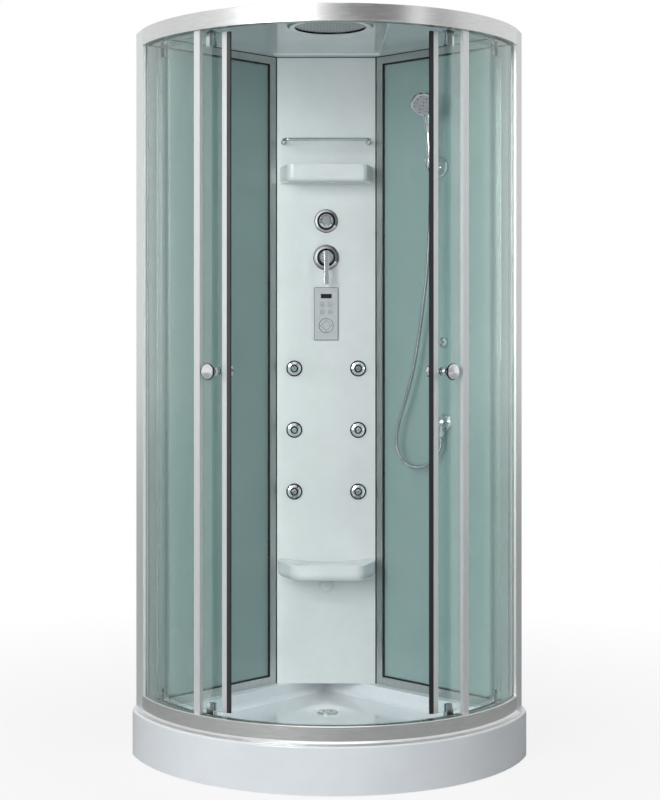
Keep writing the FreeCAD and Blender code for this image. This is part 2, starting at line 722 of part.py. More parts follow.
railTop = "topRailLow + railHigh"
trackTop = "topRailLow + railHigh - trackDrop + trackThick"
topRailBody = curved("topRail", [
    ("railInner", "topRailLow + railHigh - trackDrop"),
    ("railInner + trackWide", "topRailLow + railHigh - trackDrop"),
    ("railInner + trackWide", trackTop),
    ("railInner + trackThick", trackTop),
    ("railInner + trackThick", "wallTop - topWeb"),
    ("railBox", "wallTop - topWeb"),
    ("railBox", "topRailLow"),
    ("glassFix - glassThick / 2 - slotGap", "topRailLow"),
    ("glassFix - glassThick / 2 - slotGap", "topRailLow + slotDeep"),
    ("glassFix + glassThick / 2 + slotGap", "topRailLow + slotDeep"),
    ("glassFix + glassThick / 2 + slotGap", "topRailLow"),
    ("railOuter + 2", "topRailLow"),
    ("railOuter + 2", "topRailLow + 3"),
    ("railOuter", "topRailLow + 4"),
    ("railOuter", railTop + " - 1.5"),
    ("railOuter - 1.5", railTop),
    ("railBox", railTop),
    ("railBox", "wallTop"),
    ("railInner", "wallTop")], "-railEnd", "railEnd")

screwAngles = ["%d * screwStep" % k for k in range(-4, 5)]
shankHoles = []
screws = []
for i, angle in enumerate(screwAngles):
    x, y = polar("screwRadius", angle)
    shankHoles.append(post("shankHole%d" % i, "screwShank + screwFit",
                           "wallTop + roofThick - screwLong - 1", "wallTop + roofThick + 1",
                           x, y))
    screw = turned("screw%d" % i, [
        ("0", "-screwLong"), ("screwShank", "-screwLong"), ("screwShank", "0"),
        ("screwHead", "0"), ("screwHead * 0.8", "screwHeadHigh"), ("0", "screwHeadHigh")])
    screws.append(place(screw, x, y, "wallTop + roofThick"))
holeRow = group("holeRow", *shankHoles)
piece("top_rail", cut("topRailBody", topRailBody, holeRow))
piece("roof_screws", group("screwsAll", *screws))

# ------------------------------------------------- jambs and fixed glass

fixedLow = bottomTop + " - slotDeep + slotGap"
fixedHigh = "topRailLow + slotDeep - slotGap"


def wall_spot(s, deep):
    return ("((%s) - (%s)) * cos(45)" % (s, deep),
            "backCornerY - ((%s) + (%s)) * cos(45)" % (s, deep))


jambRight = slab("jambRight", [
    polar("jambRadius", "railEnd"),
    wall_spot("wallEnd + jambFit", "0.5"),
    wall_spot("wallEnd + jambFit", "jambThick"),
    polar("railBox", "jambStep + 0.9"),
    polar("railBox", "jambStep"),
    polar("jambRadius - jambLip", "jambStep"),
    polar("jambRadius - jambLip", "railEnd")], "rimHigh", railTop)
piece("jambs", group("jambsAll", jambRight, flip("jambLeft", jambRight)))

glassIn = "glassFix - glassThick / 2"
glassOut = "glassFix + glassThick / 2"
paneRight = strip("paneRight", glassIn, glassOut, fixedLow, fixedHigh,
                  "trimStart + trimGrip", "sealEnd - 0.4")
piece("fixed_glass_panels", group("panesAll", paneRight, flip("paneLeft", paneRight)))

trimBlock = strip("trimBlock", "glassFix - trimDeep / 2", "glassFix + trimDeep / 2",
                  bottomTop, "topRailLow", "trimStart", "trimEnd")
trimSlot = strip("trimSlot", glassIn, glassOut, bottomTop + " - 1", "topRailLow + 1",
                 "trimStart + trimGrip", "trimEnd + 1")
trimRight = cut("trimRight", trimBlock, trimSlot)
piece("fixed_trims", group("trimsAll", trimRight, flip("trimLeft", trimRight)))

finOuter = "glassFix - trimDeep / 2"
finRight = slab("finRight", [
    polar(finOuter, "trimStart + 0.05"),
    polar(finOuter, "trimStart + 0.45"),
    polar(finOuter + " - finReach", "trimStart - finSweep + 0.25"),
    polar(finOuter + " - finReach", "trimStart - finSweep")],
    bottomTop + " + 0.5", "topRailLow - 0.5")
gasketBlock = strip("gasketBlock", "glassFix - 4.2", "glassFix + 4.2",
                    bottomTop, "topRailLow", "sealStart", "sealEnd")
gasketSlot = strip("gasketSlot", glassIn, glassOut, bottomTop + " - 1", "topRailLow + 1",
                   "sealStart - 1", "sealEnd - 0.4")
gasketRight = cut("gasketRight", gasketBlock, gasketSlot)

# ------------------------------------------------------- back walls

frameRight = cut("frameRight",
                 wall_box("frameBlock", "wallStart", "wallEnd", "0", "wallDeep",
                          "deckHigh", "wallTop"),
                 wall_box("frameWindow", "wallStart + frameEdge", "wallEnd - frameEdge",
                          "-1", "wallDeep + 1", "deckHigh + frameEdge",
                          "wallTop - frameEdge"))
piece("back_frames", group("framesAll", frameRight, flip("frameLeft", frameRight)))


def wall_sheet(name, inset, deep0, deep1):
    return wall_box(name, "wallStart + frameEdge + (%s)" % inset,
                    "wallEnd - frameEdge - (%s)" % inset, deep0, deep1,
                    "deckHigh + frameEdge + (%s)" % inset,
                    "wallTop - frameEdge - (%s)" % inset)


glassFace = "wallDeep - 6"
sealRight = cut("sealRight",
                wall_sheet("sealBlock", "0", "wallDeep - 2 - gasketDeep", "wallDeep - 2"),
                wall_sheet("sealWindow", "gasketEdge", "-1", "wallDeep + 1"),
                wall_sheet("sealGroove", "gasketEdge - glassBed",
                           glassFace + " - wallGlass", glassFace))
backRight = wall_sheet("backRight", "gasketEdge - glassBed", glassFace + " - wallGlass",
                       glassFace)
piece("back_glass_panels", group("backAll", backRight, flip("backLeft", backRight)))
piece("glass_gaskets", group("gasketsAll", sealRight, flip("sealLeft", sealRight),
                             gasketRight, flip("gasketLeft", gasketRight),
                             finRight, flip("finLeft", finRight)))

# ------------------------------------------------------------- column

flangeOut = "wallDeep * cos(45)"
columnSheet = slab("columnSheet", [
    ("-columnHalf", "columnY"),
    ("columnHalf", "columnY"),
    ("columnHalf + " + flangeOut, "columnY + " + flangeOut),
    ("columnHalf + " + flangeOut + " - panelThick * cos(45)",
     "columnY + " + flangeOut + " + panelThick * cos(45)"),
    ("columnHalf - panelThick * 0.414", "columnY + panelThick"),
    ("-columnHalf + panelThick * 0.414", "columnY + panelThick"),
    ("-columnHalf - " + flangeOut + " + panelThick * cos(45)",
     "columnY + " + flangeOut + " + panelThick * cos(45)"),
    ("-columnHalf - " + flangeOut, "columnY + " + flangeOut)],
    "deckHigh", "wallTop")


def shelf_shape(name, inset, root, front, deep, low, high, reach="0"):
    return slab(name, [
        ("-(%s) + (%s)" % (root, inset), "columnY + 1 + (%s)" % reach),
        ("-(%s) + (%s)" % (front, inset), "columnY - (%s) + (%s)" % (deep, inset)),
        ("(%s) - (%s)" % (front, inset), "columnY - (%s) + (%s)" % (deep, inset)),
        ("(%s) - (%s)" % (root, inset), "columnY + 1 + (%s)" % reach)], low, high)


shelfBlock = shelf_shape("shelfBlock", "0", "shelfRoot", "shelfFront", "shelfDeep",
                         "shelfTop - shelfHigh", "shelfTop")
shelfUpright = rounded("shelfUpright", shelfBlock, "shelfRound",
                       lambda edge: upright(edge) and edge.BoundBox.YMin < number("columnY") - 5)
shelfSoft = rounded("shelfSoft", shelfUpright, "shelfRound * 0.4",
                    lambda edge: at_height(number("shelfTop - shelfHigh"))(edge)
                    and edge.BoundBox.YMin < number("columnY"))
shelfHollow = shelf_shape("shelfHollow", "shelfWall", "shelfRoot", "shelfFront", "shelfDeep",
                          "shelfTop - shelfHigh + shelfWall",
                          "shelfTop - shelfDish - shelfWall", "panelThick")
shelfDished = shelf_shape("shelfDished", "shelfWall + 5", "shelfRoot", "shelfFront",
                          "shelfDeep", "shelfTop - shelfDish", "shelfTop + 1", "-6")


def seat_shape(name, inset, low, high, reach="0"):
    return slab(name, [
        ("-seatRoot + (%s)" % inset, "columnY + 1 + (%s)" % reach),
        ("-seatRoot + (%s)" % inset, "columnY - seatSide"),
        ("-seatFront + (%s) * 0.6" % inset, "columnY - seatDeep + (%s)" % inset),
        ("seatFront - (%s) * 0.6" % inset, "columnY - seatDeep + (%s)" % inset),
        ("seatRoot - (%s)" % inset, "columnY - seatSide"),
        ("seatRoot - (%s)" % inset, "columnY + 1 + (%s)" % reach)], low, high)


seatBlock = seat_shape("seatBlock", "0", "seatTop - seatHigh", "seatTop")
seatUpright = rounded("seatUpright", seatBlock, "seatCorner",
                      lambda edge: upright(edge) and edge.BoundBox.YMin < number("columnY") - 5)
seatSoft = rounded("seatSoft", seatUpright, "seatRound",
                   lambda edge: at_height(number("seatTop - seatHigh"))(edge)
                   and edge.BoundBox.YMin < number("columnY"))
seatHollow = seat_shape("seatHollow", "shelfWall + 4", "seatTop - seatHigh + shelfWall",
                        "seatTop - seatDish - shelfWall", "panelThick")
# a shallow scoop, cut by a lying cylinder of large radius
scoopRadius = "(seatRoot * seatRoot * 0.72 + seatDish * seatDish) / (2 * seatDish)"
seatScoop = common("seatScoop",
                   rod("scoopRound", scoopRadius, "seatDeep - 14", "0", "columnY - 2",
                       "seatTop - seatDish + " + scoopRadius),
                   box("scoopRoom", "-seatRoot", "seatRoot", "columnY - seatDeep", "columnY",
                       "seatTop - seatHigh", "seatTop + 1"))

jetSpots = []
for height in ("jetUpperZ", "jetMiddleZ", "jetLowerZ"):
    jetSpots.append(("-jetX", height))
    jetSpots.append(("jetX", height))

columnHoles = []
for i, (x, z) in enumerate(jetSpots):
    columnHoles.append(rod("jetHole%d" % i, "jetTube + faceFit", "60", x,
                           "columnY + 20", z))
for name, z in (("mixerHole", "mixerZ"), ("diverterHole", "diverterZ")):
    columnHoles.append(rod(name, "valveHole", "60", "0", "columnY + 20", z))
columnHoles.append(box("unitHole", "-fasciaHalf + boxInset - 0.3",
                       "fasciaHalf - boxInset + 0.3", "columnY - 20", "columnY + 20",
                       "fasciaLow + boxInset - 0.3", "fasciaTop - boxInset + 0.3"))
columnHoles.append(rod("steamHole", "steamPipe + 0.3", "60", "0", "columnY + 20", "steamZ"))
columnJoined = join("columnJoined", columnSheet, shelfSoft, seatSoft)
piece("column_panel", cut("columnBody", columnJoined, shelfHollow, shelfDished,
                          seatHollow, seatScoop, *columnHoles))

# ---------------------------------------------------------- towel rail


def turn_path(points, radii):
    # straight runs joined by tangent arcs, as one wire
    edges = []
    start = points[0]
    for i in range(1, len(points) - 1):
        before = (points[i - 1] - points[i]).normalize()
        after = (points[i + 1] - points[i]).normalize()
        half = math.pi / 2 - before.getAngle(after) / 2
        back = radii[i - 1] * math.tan(half)
        first = points[i] + before * back
        last = points[i] + after * back
        inward = (before + after).normalize()
        middle = points[i] + inward * (radii[i - 1] / math.cos(half) - radii[i - 1])
        edges.append(Part.LineSegment(start, first).toShape())
        edges.append(Part.Arc(first, middle, last).toShape())
        start = last
    edges.append(Part.LineSegment(start, points[-1]).toShape())
    return Part.Wire(edges)


def pipe_shape(points, radii, radius):
    path = turn_path(points, radii)
    ring = Part.Circle(points[0], points[1] - points[0], radius).toShape()
    solid = path.makePipeShell([Part.Wire([ring])], True, False)
    return solid, path.Length


def shaped(name, shape):
    thing = doc.addObject("Part::Feature", name)
    thing.Shape = shape
    thing.Placement = FreeCAD.Placement()
    return thing


def spot(x, y, z):
    return FreeCAD.Vector(number(x), number(y), number(z))


railPoints = [spot("-towelHalf", "columnY", "towelZ"),
              spot("-towelHalf", "columnY - towelReach", "towelZ"),
              spot("towelHalf", "columnY - towelReach", "towelZ"),
              spot("towelHalf", "columnY", "towelZ")]
bend = number("towelBend")
towelBar = shaped("towelBar", pipe_shape(railPoints, [bend, bend], number("towelRod"))[0])
roses = []
for i, x in enumerate(("-towelHalf", "towelHalf")):
    rose = turned("towelRose%d" % i, [
        ("0", "0"), ("towelRose", "0"), ("towelRose", "towelRoseThick * 0.6"),
        ("towelRose - 1.5", "towelRoseThick"), ("0", "towelRoseThick")])
    roses.append(place(rose, x, "columnY", "towelZ", "0", 90))
piece("towel_rail", join("towelJoined", towelBar, *roses))

# -------------------------------------------------------------- valves

behind = "columnY + panelThick"
mixerCore = rod("mixerCore", "chamber", "chamberDeep", "0", behind + " + chamberDeep", "mixerZ")
mixerSpigot = rod("mixerSpigot", "spigot", "panelThick + plateThick", "0", behind, "mixerZ")
diverterCore = rod("diverterCore", "chamber - 3", "chamberDeep", "0",
                   behind + " + chamberDeep", "diverterZ")
diverterSpigot = rod("diverterSpigot", "spigot", "panelThick + plateThick", "0", behind,
                     "diverterZ")
valveLink = post("valveLink", "pipeRadius + 2", "mixerZ", "diverterZ", "0", "pipeY")
# each inlet is an arm, a shoulder and a free end towards the back
inlets = []
inletBores = []
shoulderEnd = behind + " + chamberDeep + 2"
for name, yaw, sign in (("inletLeft", "-90", "-"), ("inletRight", "90", "")):
    x = sign + "(inletReach)"
    inlets.append(rod(name + "Arm", "inletRadius - 1.3", "inletReach - chamber * 0.5",
                      sign + "(chamber * 0.5)", "pipeY", "mixerZ", yaw))
    inlets.append(rod(name + "Shoulder", "inletCollar", "(" + shoulderEnd + ") - pipeY + 13", x,
                      "pipeY - 13", "mixerZ", "0", -90))
    inlets.append(rod(name + "End", "inletRadius", "inletLong", x, shoulderEnd, "mixerZ",
                      "0", -90))
    inletBores.append(rod(name + "Bore", "inletBore", "inletLong + 26", x,
                          shoulderEnd + " - 25", "mixerZ", "0", -90))
    inletBores.append(rod(name + "ArmBore", "inletBore - 1.5", "inletReach - chamber - 4",
                          sign + "(chamber + 4)", "pipeY", "mixerZ", yaw))
piece("valve_body", cut("valveCut", join("valveJoined", mixerCore, mixerSpigot, diverterCore,
                                         diverterSpigot, valveLink, *inlets), *inletBores))

plates = []
for name, radius, z in (("mixerPlateBody", "mixerPlate", "mixerZ"),
                        ("diverterPlateBody", "diverterPlate", "diverterZ")):
    plate = turned(name, [
        ("plateBore", "0"), (radius, "0"), (radius, "plateThick * 0.35"),
        (radius + " - 2", "plateThick * 0.6"), (radius + " * 0.72", "plateThick * 0.75"),
        (radius + " * 0.66", "plateThick"), ("plateBore", "plateThick")])
    plates.append(place(plate, "0", "columnY", z, "0", 90))
piece("valve_escutcheons", group("platesAll", *plates))

hubBack = "columnY - plateThick - turnGap"
hubTurned = turned("hubTurned", [
    ("0", "0"), ("hubRadius + 3", "0"), ("hubRadius + 3", "2"), ("hubRadius", "5"),
    ("hubRadius - 1", "hubDeep - 2"), ("hubRadius - 3", "hubDeep"), ("0", "hubDeep")])
place(hubTurned, "0", hubBack, "mixerZ", "0", 90)
pivotY = hubBack + " - hubDeep + leverPinDeep"
hubSlot = box("hubSlot", "-tongueWide / 2 - tongueFit", "tongueWide / 2 + tongueFit",
              hubBack + " - hubDeep - 1", pivotY + " + leverPinDeep",
              "mixerZ - 13", "mixerZ + 13")
hubPinBore = rod("hubPinBore", "leverPin + pinFit", "hubRadius * 1.2 + 0.6",
                 "-hubRadius * 0.6 - 0.3", pivotY, "mixerZ", "90")
piece("mixer_hub", cut("hubBody", hubTurned, hubSlot, hubPinBore))

leverPinRod = rod("leverPinRod", "leverPin", "hubRadius * 1.2", "-hubRadius * 0.6", pivotY,
                  "mixerZ", "90")
leverFace = hubBack + " - hubDeep - leverGap"
leverTongue = box("leverTongue", "-tongueWide / 2", "tongueWide / 2", leverFace + " - 1",
                  pivotY + " + 5", "mixerZ - 5", "mixerZ + 5")
leverArm = box("leverArm", "-leverWide / 2", "leverWide / 2", leverFace + " - leverThick",
               leverFace, "mixerZ - leverDown", "mixerZ + leverUp")
leverSoft = rounded("leverSoft", leverArm, "2.5", lambda edge: True)
piece("mixer_lever", join("leverBody", leverSoft, leverTongue, leverPinRod))

knobTurned = turned("knobTurned", [
    ("0", "0"), ("knobRadius", "0"), ("knobRadius", "4"), ("knobRadius * 0.8", "6"),
    ("knobRadius * 0.78", "knobDeep - 3"), ("knobRadius * 0.62", "knobDeep"),
    ("0", "knobDeep")])
place(knobTurned, "0", hubBack, "diverterZ", "0", 90)
flutes = []
for i in range(8):
    reach = "knobRadius * 1.02"
    flutes.append(rod("flute%d" % i, "knobRadius * 0.28", "knobDeep",
                      reach + " * sin(%d)" % (45 * i), hubBack + " - 6",
                      "diverterZ + " + reach + " * cos(%d)" % (45 * i)))
piece("diverter_knob", cut("knobBody", knobTurned, *flutes))

# -------------------------------------------------------- control unit

fasciaBox = box("fasciaBox", "-fasciaHalf", "fasciaHalf", "columnY - fasciaThick", "columnY",
                "fasciaLow", "fasciaTop")
fasciaSoft = rounded("fasciaSoft", fasciaBox, "fasciaRound",
                     lambda edge: edge.BoundBox.YLength > 1)
unitBox = box("unitBox", "-fasciaHalf + boxInset", "fasciaHalf - boxInset", "columnY",
              "columnY + boxDeep", "fasciaLow + boxInset", "fasciaTop - boxInset")
faceY = "columnY - fasciaThick"
displaySeat = box("displaySeat", "-displayHalf", "displayHalf", faceY + " - 1",
                  faceY + " + displayThick", "displayZ - displayHigh / 2",
                  "displayZ + displayHigh / 2")
keySpots = [("-keyX", "keyUpperZ", "keyRadius"), ("keyX", "keyUpperZ", "keyRadius"),
            ("-keyX", "keyLowerZ", "keyRadius"), ("keyX", "keyLowerZ", "keyRadius"),
            ("0", "padZ", "padRadius")]
wells = []
for i, (x, z, radius) in enumerate(keySpots):
    wells.append(rod("well%d" % i, radius + " + keyGap", "keyWell + 1", x,
                     faceY + " + keyWell", z))
piece("control_unit", cut("unitBody", join("unitJoined", fasciaSoft, unitBox),
                          displaySeat, *wells))
piece("display_window", box("displayGlass", "-displayHalf", "displayHalf", faceY + " - 0.3",
                            faceY + " + displayThick", "displayZ - displayHigh / 2",
                            "displayZ + displayHigh / 2"))
for i, (x, z, radius) in enumerate(keySpots):
    keyShape = turned("keyShape%d" % i, [
        ("0", "0"), (radius, "0"), (radius, "keyLong - 0.6"), (radius + " - 0.6", "keyLong"),
        ("0", "keyLong")])
    place(keyShape, x, faceY + " - keyProud + keyLong", z, "0", 90)
    if i < 4:
        piece("key_%d" % (i + 1), keyShape)
    else:
        padMark = box("padMark", "-padRadius * 0.95", "padRadius * 0.95",
                      faceY + " - keyProud - 1", faceY + " - keyProud + 0.4",
                      "padZ - 0.6", "padZ + 0.6")
        padMarkUp = box("padMarkUp", "-0.6", "0.6", faceY + " - keyProud - 1",
                        faceY + " - keyProud + 0.4", "padZ - padRadius * 0.95",
                        "padZ + padRadius * 0.95")
        padMiddle = rod("padMiddle", "padRadius * 0.5", "3", "0", faceY + " - keyProud + 1",
                        "padZ")
        padGrooves = cut("padGrooves", join("padCross", padMark, padMarkUp), padMiddle)
        piece("key_pad", cut("padBody", keyShape, padGrooves))

# ----------------------------------------------------------------- jets

jetBodies = []
for i, (x, z) in enumerate(jetSpots):
    shell = turned("jetShell%d" % i, [
        ("jetBore", "-jetDeep"), ("jetTube", "-jetDeep"), ("jetTube", "0"),
        ("jetFlange", "0"), ("jetFlange", "jetProud * 0.35"),
        ("jetFlange - 3", "jetProud * 0.7"), ("jetMouth + 5", "jetProud"),
        ("jetMouth", "jetProud"), ("jetMouth", "ballIn"), ("jetBore", "-ballIn")])
    place(shell, x, "columnY", z, "0", 90)
    socket = doc.addObject("Part::Sphere", "socket%d" % i)
    tie(socket, Radius="jetBall + ballGap")
    place(socket, x, "columnY - ballIn", z)
    jetBodies.append(cut("jetBody%d" % i, shell, socket))
    ball = doc.addObject("Part::Sphere", "ball%d" % i)
    tie(ball, Radius="jetBall")
    place(ball, x, "columnY - ballIn", z)
    tip = rod("tip%d" % i, "jetTip", "jetTipOut", x, "columnY - ballIn", z)
    tipBore = rod("tipBore%d" % i, "jetHole", "jetTipOut + jetBall + 2", x,
                  "columnY - ballIn + jetBall + 1", z)
    piece("jet_nozzle_%d" % (i + 1), cut("nozzle%d" % i, join("nozzleJoined%d" % i, ball, tip),
                                         tipBore))
piece("jet_bodies", group("jetsAll", *jetBodies))

# ------------------------------------------- roof and overhead shower

roofSheet = common("roofSheet", disc("roofArc", "roofEdge", "wallTop", "wallTop + roofThick"),
                   square("roofSquare", "roofBack", "wallTop", "wallTop + roofThick"))
raisedOuter = slab("raisedOuter", [
    ("-panelHalf - roofThick", "panelFrontY - roofThick"),
    ("panelHalf + roofThick", "panelFrontY - roofThick"),
    ("panelHalf + roofThick", "columnY - 30"), ("-panelHalf - roofThick", "columnY - 30")],
    "wallTop", "wallTop + roofThick + panelStep")
raisedInner = slab("raisedInner", [
    ("-panelHalf", "panelFrontY"), ("panelHalf", "panelFrontY"),
    ("panelHalf", "columnY - 30 - roofThick"), ("-panelHalf", "columnY - 30 - roofThick")],
    "wallTop - 1", "wallTop + panelStep")
overheadHole = post("overheadHole", "overheadMesh + 3 + faceFit", "wallTop - 2",
                    "wallTop + panelStep + roofThick + 2", "0", "overheadY")
feedHole = post("feedHole", "feedRadius + 1.5", "wallTop - 1", "wallTop + roofThick + 1",
                "0", "pipeY")
piece("ceiling_panel", cut("ceilingBody", join("ceilingJoined", roofSheet, raisedOuter),
                           raisedInner, overheadHole, feedHole, holeRow))


def tier(name, shrink, low, mid, high):
    lower = common(name + "Lower",
                   disc(name + "LowerArc", "tierRadius - (%s)" % shrink, low, mid),
                   square(name + "LowerSquare", "tierBack - (%s) * 1.4" % shrink, low, mid))
    upper = common(name + "Upper",
                   post(name + "UpperArc", "crownRadius - (%s)" % shrink, low, high, "0",
                        "crownY"),
                   square(name + "UpperSquare", "tierBack - (%s) * 1.4" % shrink, low, high))
    return join(name, lower, upper)


roofBase = "wallTop + roofThick"
roofOuter = tier("roofOuter", "0", roofBase, "tierHigh", "roofTop")
roofSoft = rounded("roofSoft", roofOuter, "roofRound",
                   lambda edge: at_height(number("roofTop"))(edge))
roofInner = tier("roofInner", "roofThick", roofBase + " - 1", "tierHigh - roofThick",
                 "roofTop - roofThick")
piece("roof_cover", cut("roofCover", roofSoft, roofInner))

overheadRingBody = turned("overheadRingBody", [
    ("overheadMesh + faceFit", "0"), ("overheadRing - 6", "0"),
    ("overheadRing", "4"), ("overheadRing", "wallTop + panelStep - overheadLow"),
    ("overheadMesh + 3", "wallTop + panelStep - overheadLow"),
    ("overheadMesh + 3", "wallTop + panelStep + roofThick - overheadLow"),
    ("pipeRadius + 6", "wallTop + panelStep + roofThick - overheadLow"),
    ("pipeRadius + 6", "wallTop + panelStep - overheadLow"),
    ("overheadMesh + faceFit", "wallTop + panelStep - overheadLow")])
place(overheadRingBody, "0", "overheadY", "overheadLow")
overheadStud = turned("overheadStud", [
    ("0", "faceLift + faceThick"), ("pipeRadius + 6", "faceLift + faceThick"),
    ("pipeRadius + 6", "wallTop + panelStep + roofThick - overheadLow + 3"),
    ("0", "wallTop + panelStep + roofThick - overheadLow + 3")])
place(overheadStud, "0", "overheadY", "overheadLow")
overheadRing = join("overheadBody", overheadRingBody, overheadStud)
overheadFace = turned("overheadFace", [
    ("0", "faceLift"), ("overheadMesh", "faceLift"), ("overheadMesh", "faceLift + faceThick"),
    ("0", "faceLift + faceThick")])
place(overheadFace, "0", "overheadY", "overheadLow")
faceHoles = []
for ring, count in ((1, 8), (2, 14), (3, 20)):
    for k in range(count):
        turnAngle = 360.0 * k / count
        reach = "overheadMesh * %.3f" % (ring * 0.27)
        faceHoles.append(post("faceHole%d_%d" % (ring, k), "1.5", "overheadLow - 1",
                              "overheadLow + faceLift + faceThick + 1",
                              "%s * sin(%.4f)" % (reach, turnAngle),
                              "overheadY - %s * cos(%.4f)" % (reach, turnAngle)))
overheadPlate = cut("faceBody", overheadFace, group("faceHolesAll", *faceHoles))
piece("overhead_shower", group("overheadAll", overheadRing, overheadPlate))

# ------------------------------------------------------ pipes and steam

boiler = box("boiler", "-boilerHalf", "boilerHalf", behind, behind + " + boilerDeep",
             "boilerLow", "boilerTop")
boilerSoft = rounded("boilerSoft", boiler, "6", lambda edge: edge.BoundBox.YLength > 1)
boilerStub = post("boilerStub", "steamPipe + 2", "boilerLow - 12", "boilerLow", "0",
                  behind + " + 30")
piece("steam_generator", join("boilerBody", boilerSoft, boilerStub))

pipes = []
steamPoints = [spot("0", behind + " + 30", "boilerLow - 12"),
               spot("0", behind + " + 30", "steamZ"),
               spot("0", "columnY - 2", "steamZ")]
steamTube = shaped("steamTube", pipe_shape(steamPoints, [22], number("steamPipe"))[0])
steamCap = turned("steamCap", [
    ("0", "0"), ("steamNose", "0"), ("steamNose", "3"), ("steamNose * 0.7", "9"),
    ("steamNose * 0.4", "10"), ("0", "10")])
place(steamCap, "0", "columnY", "steamZ", "0", 90)
steamOutlet = join("steamOutlet", steamTube, steamCap)

jetFeeds = []
for side, name in ((-1, "jetFeedLeft"), (1, "jetFeedRight")):
    x = "%d * jetX" % side
    start = "columnY + jetDeep + pipeRadius"
    jetFeeds.append(post(name, "pipeRadius", "jetLowerZ - 14", "jetUpperZ + 14", x, start))
crossFeed = rod("crossFeed", "pipeRadius - 0.8", "2 * jetX", "-jetX",
                "columnY + jetDeep + pipeRadius", "jetUpperZ + 8", "90")
downFeed = post("downFeed", "pipeRadius - 1.6", "jetUpperZ + 8", "mixerZ - chamber + 1", "0",
                "columnY + jetDeep + pipeRadius")
jetPipes = join("jetPipes", crossFeed, downFeed, *jetFeeds)
feedTube = shaped("feedTube", pipe_shape([
    spot("0", "pipeY", "diverterZ + chamber - 3.2"),
    spot("0", "pipeY", "feedZ"), spot("0", "overheadY", "feedZ")],
    [number("feedBend")], number("feedRadius"))[0])
piece("service_pipes", group("pipesAll", steamOutlet, jetPipes, feedTube))

# -------------------------------------------------------------- doors

wheelHeight = "topRailLow + railHigh - trackDrop + trackThick + wheelGap + wheelRadius"


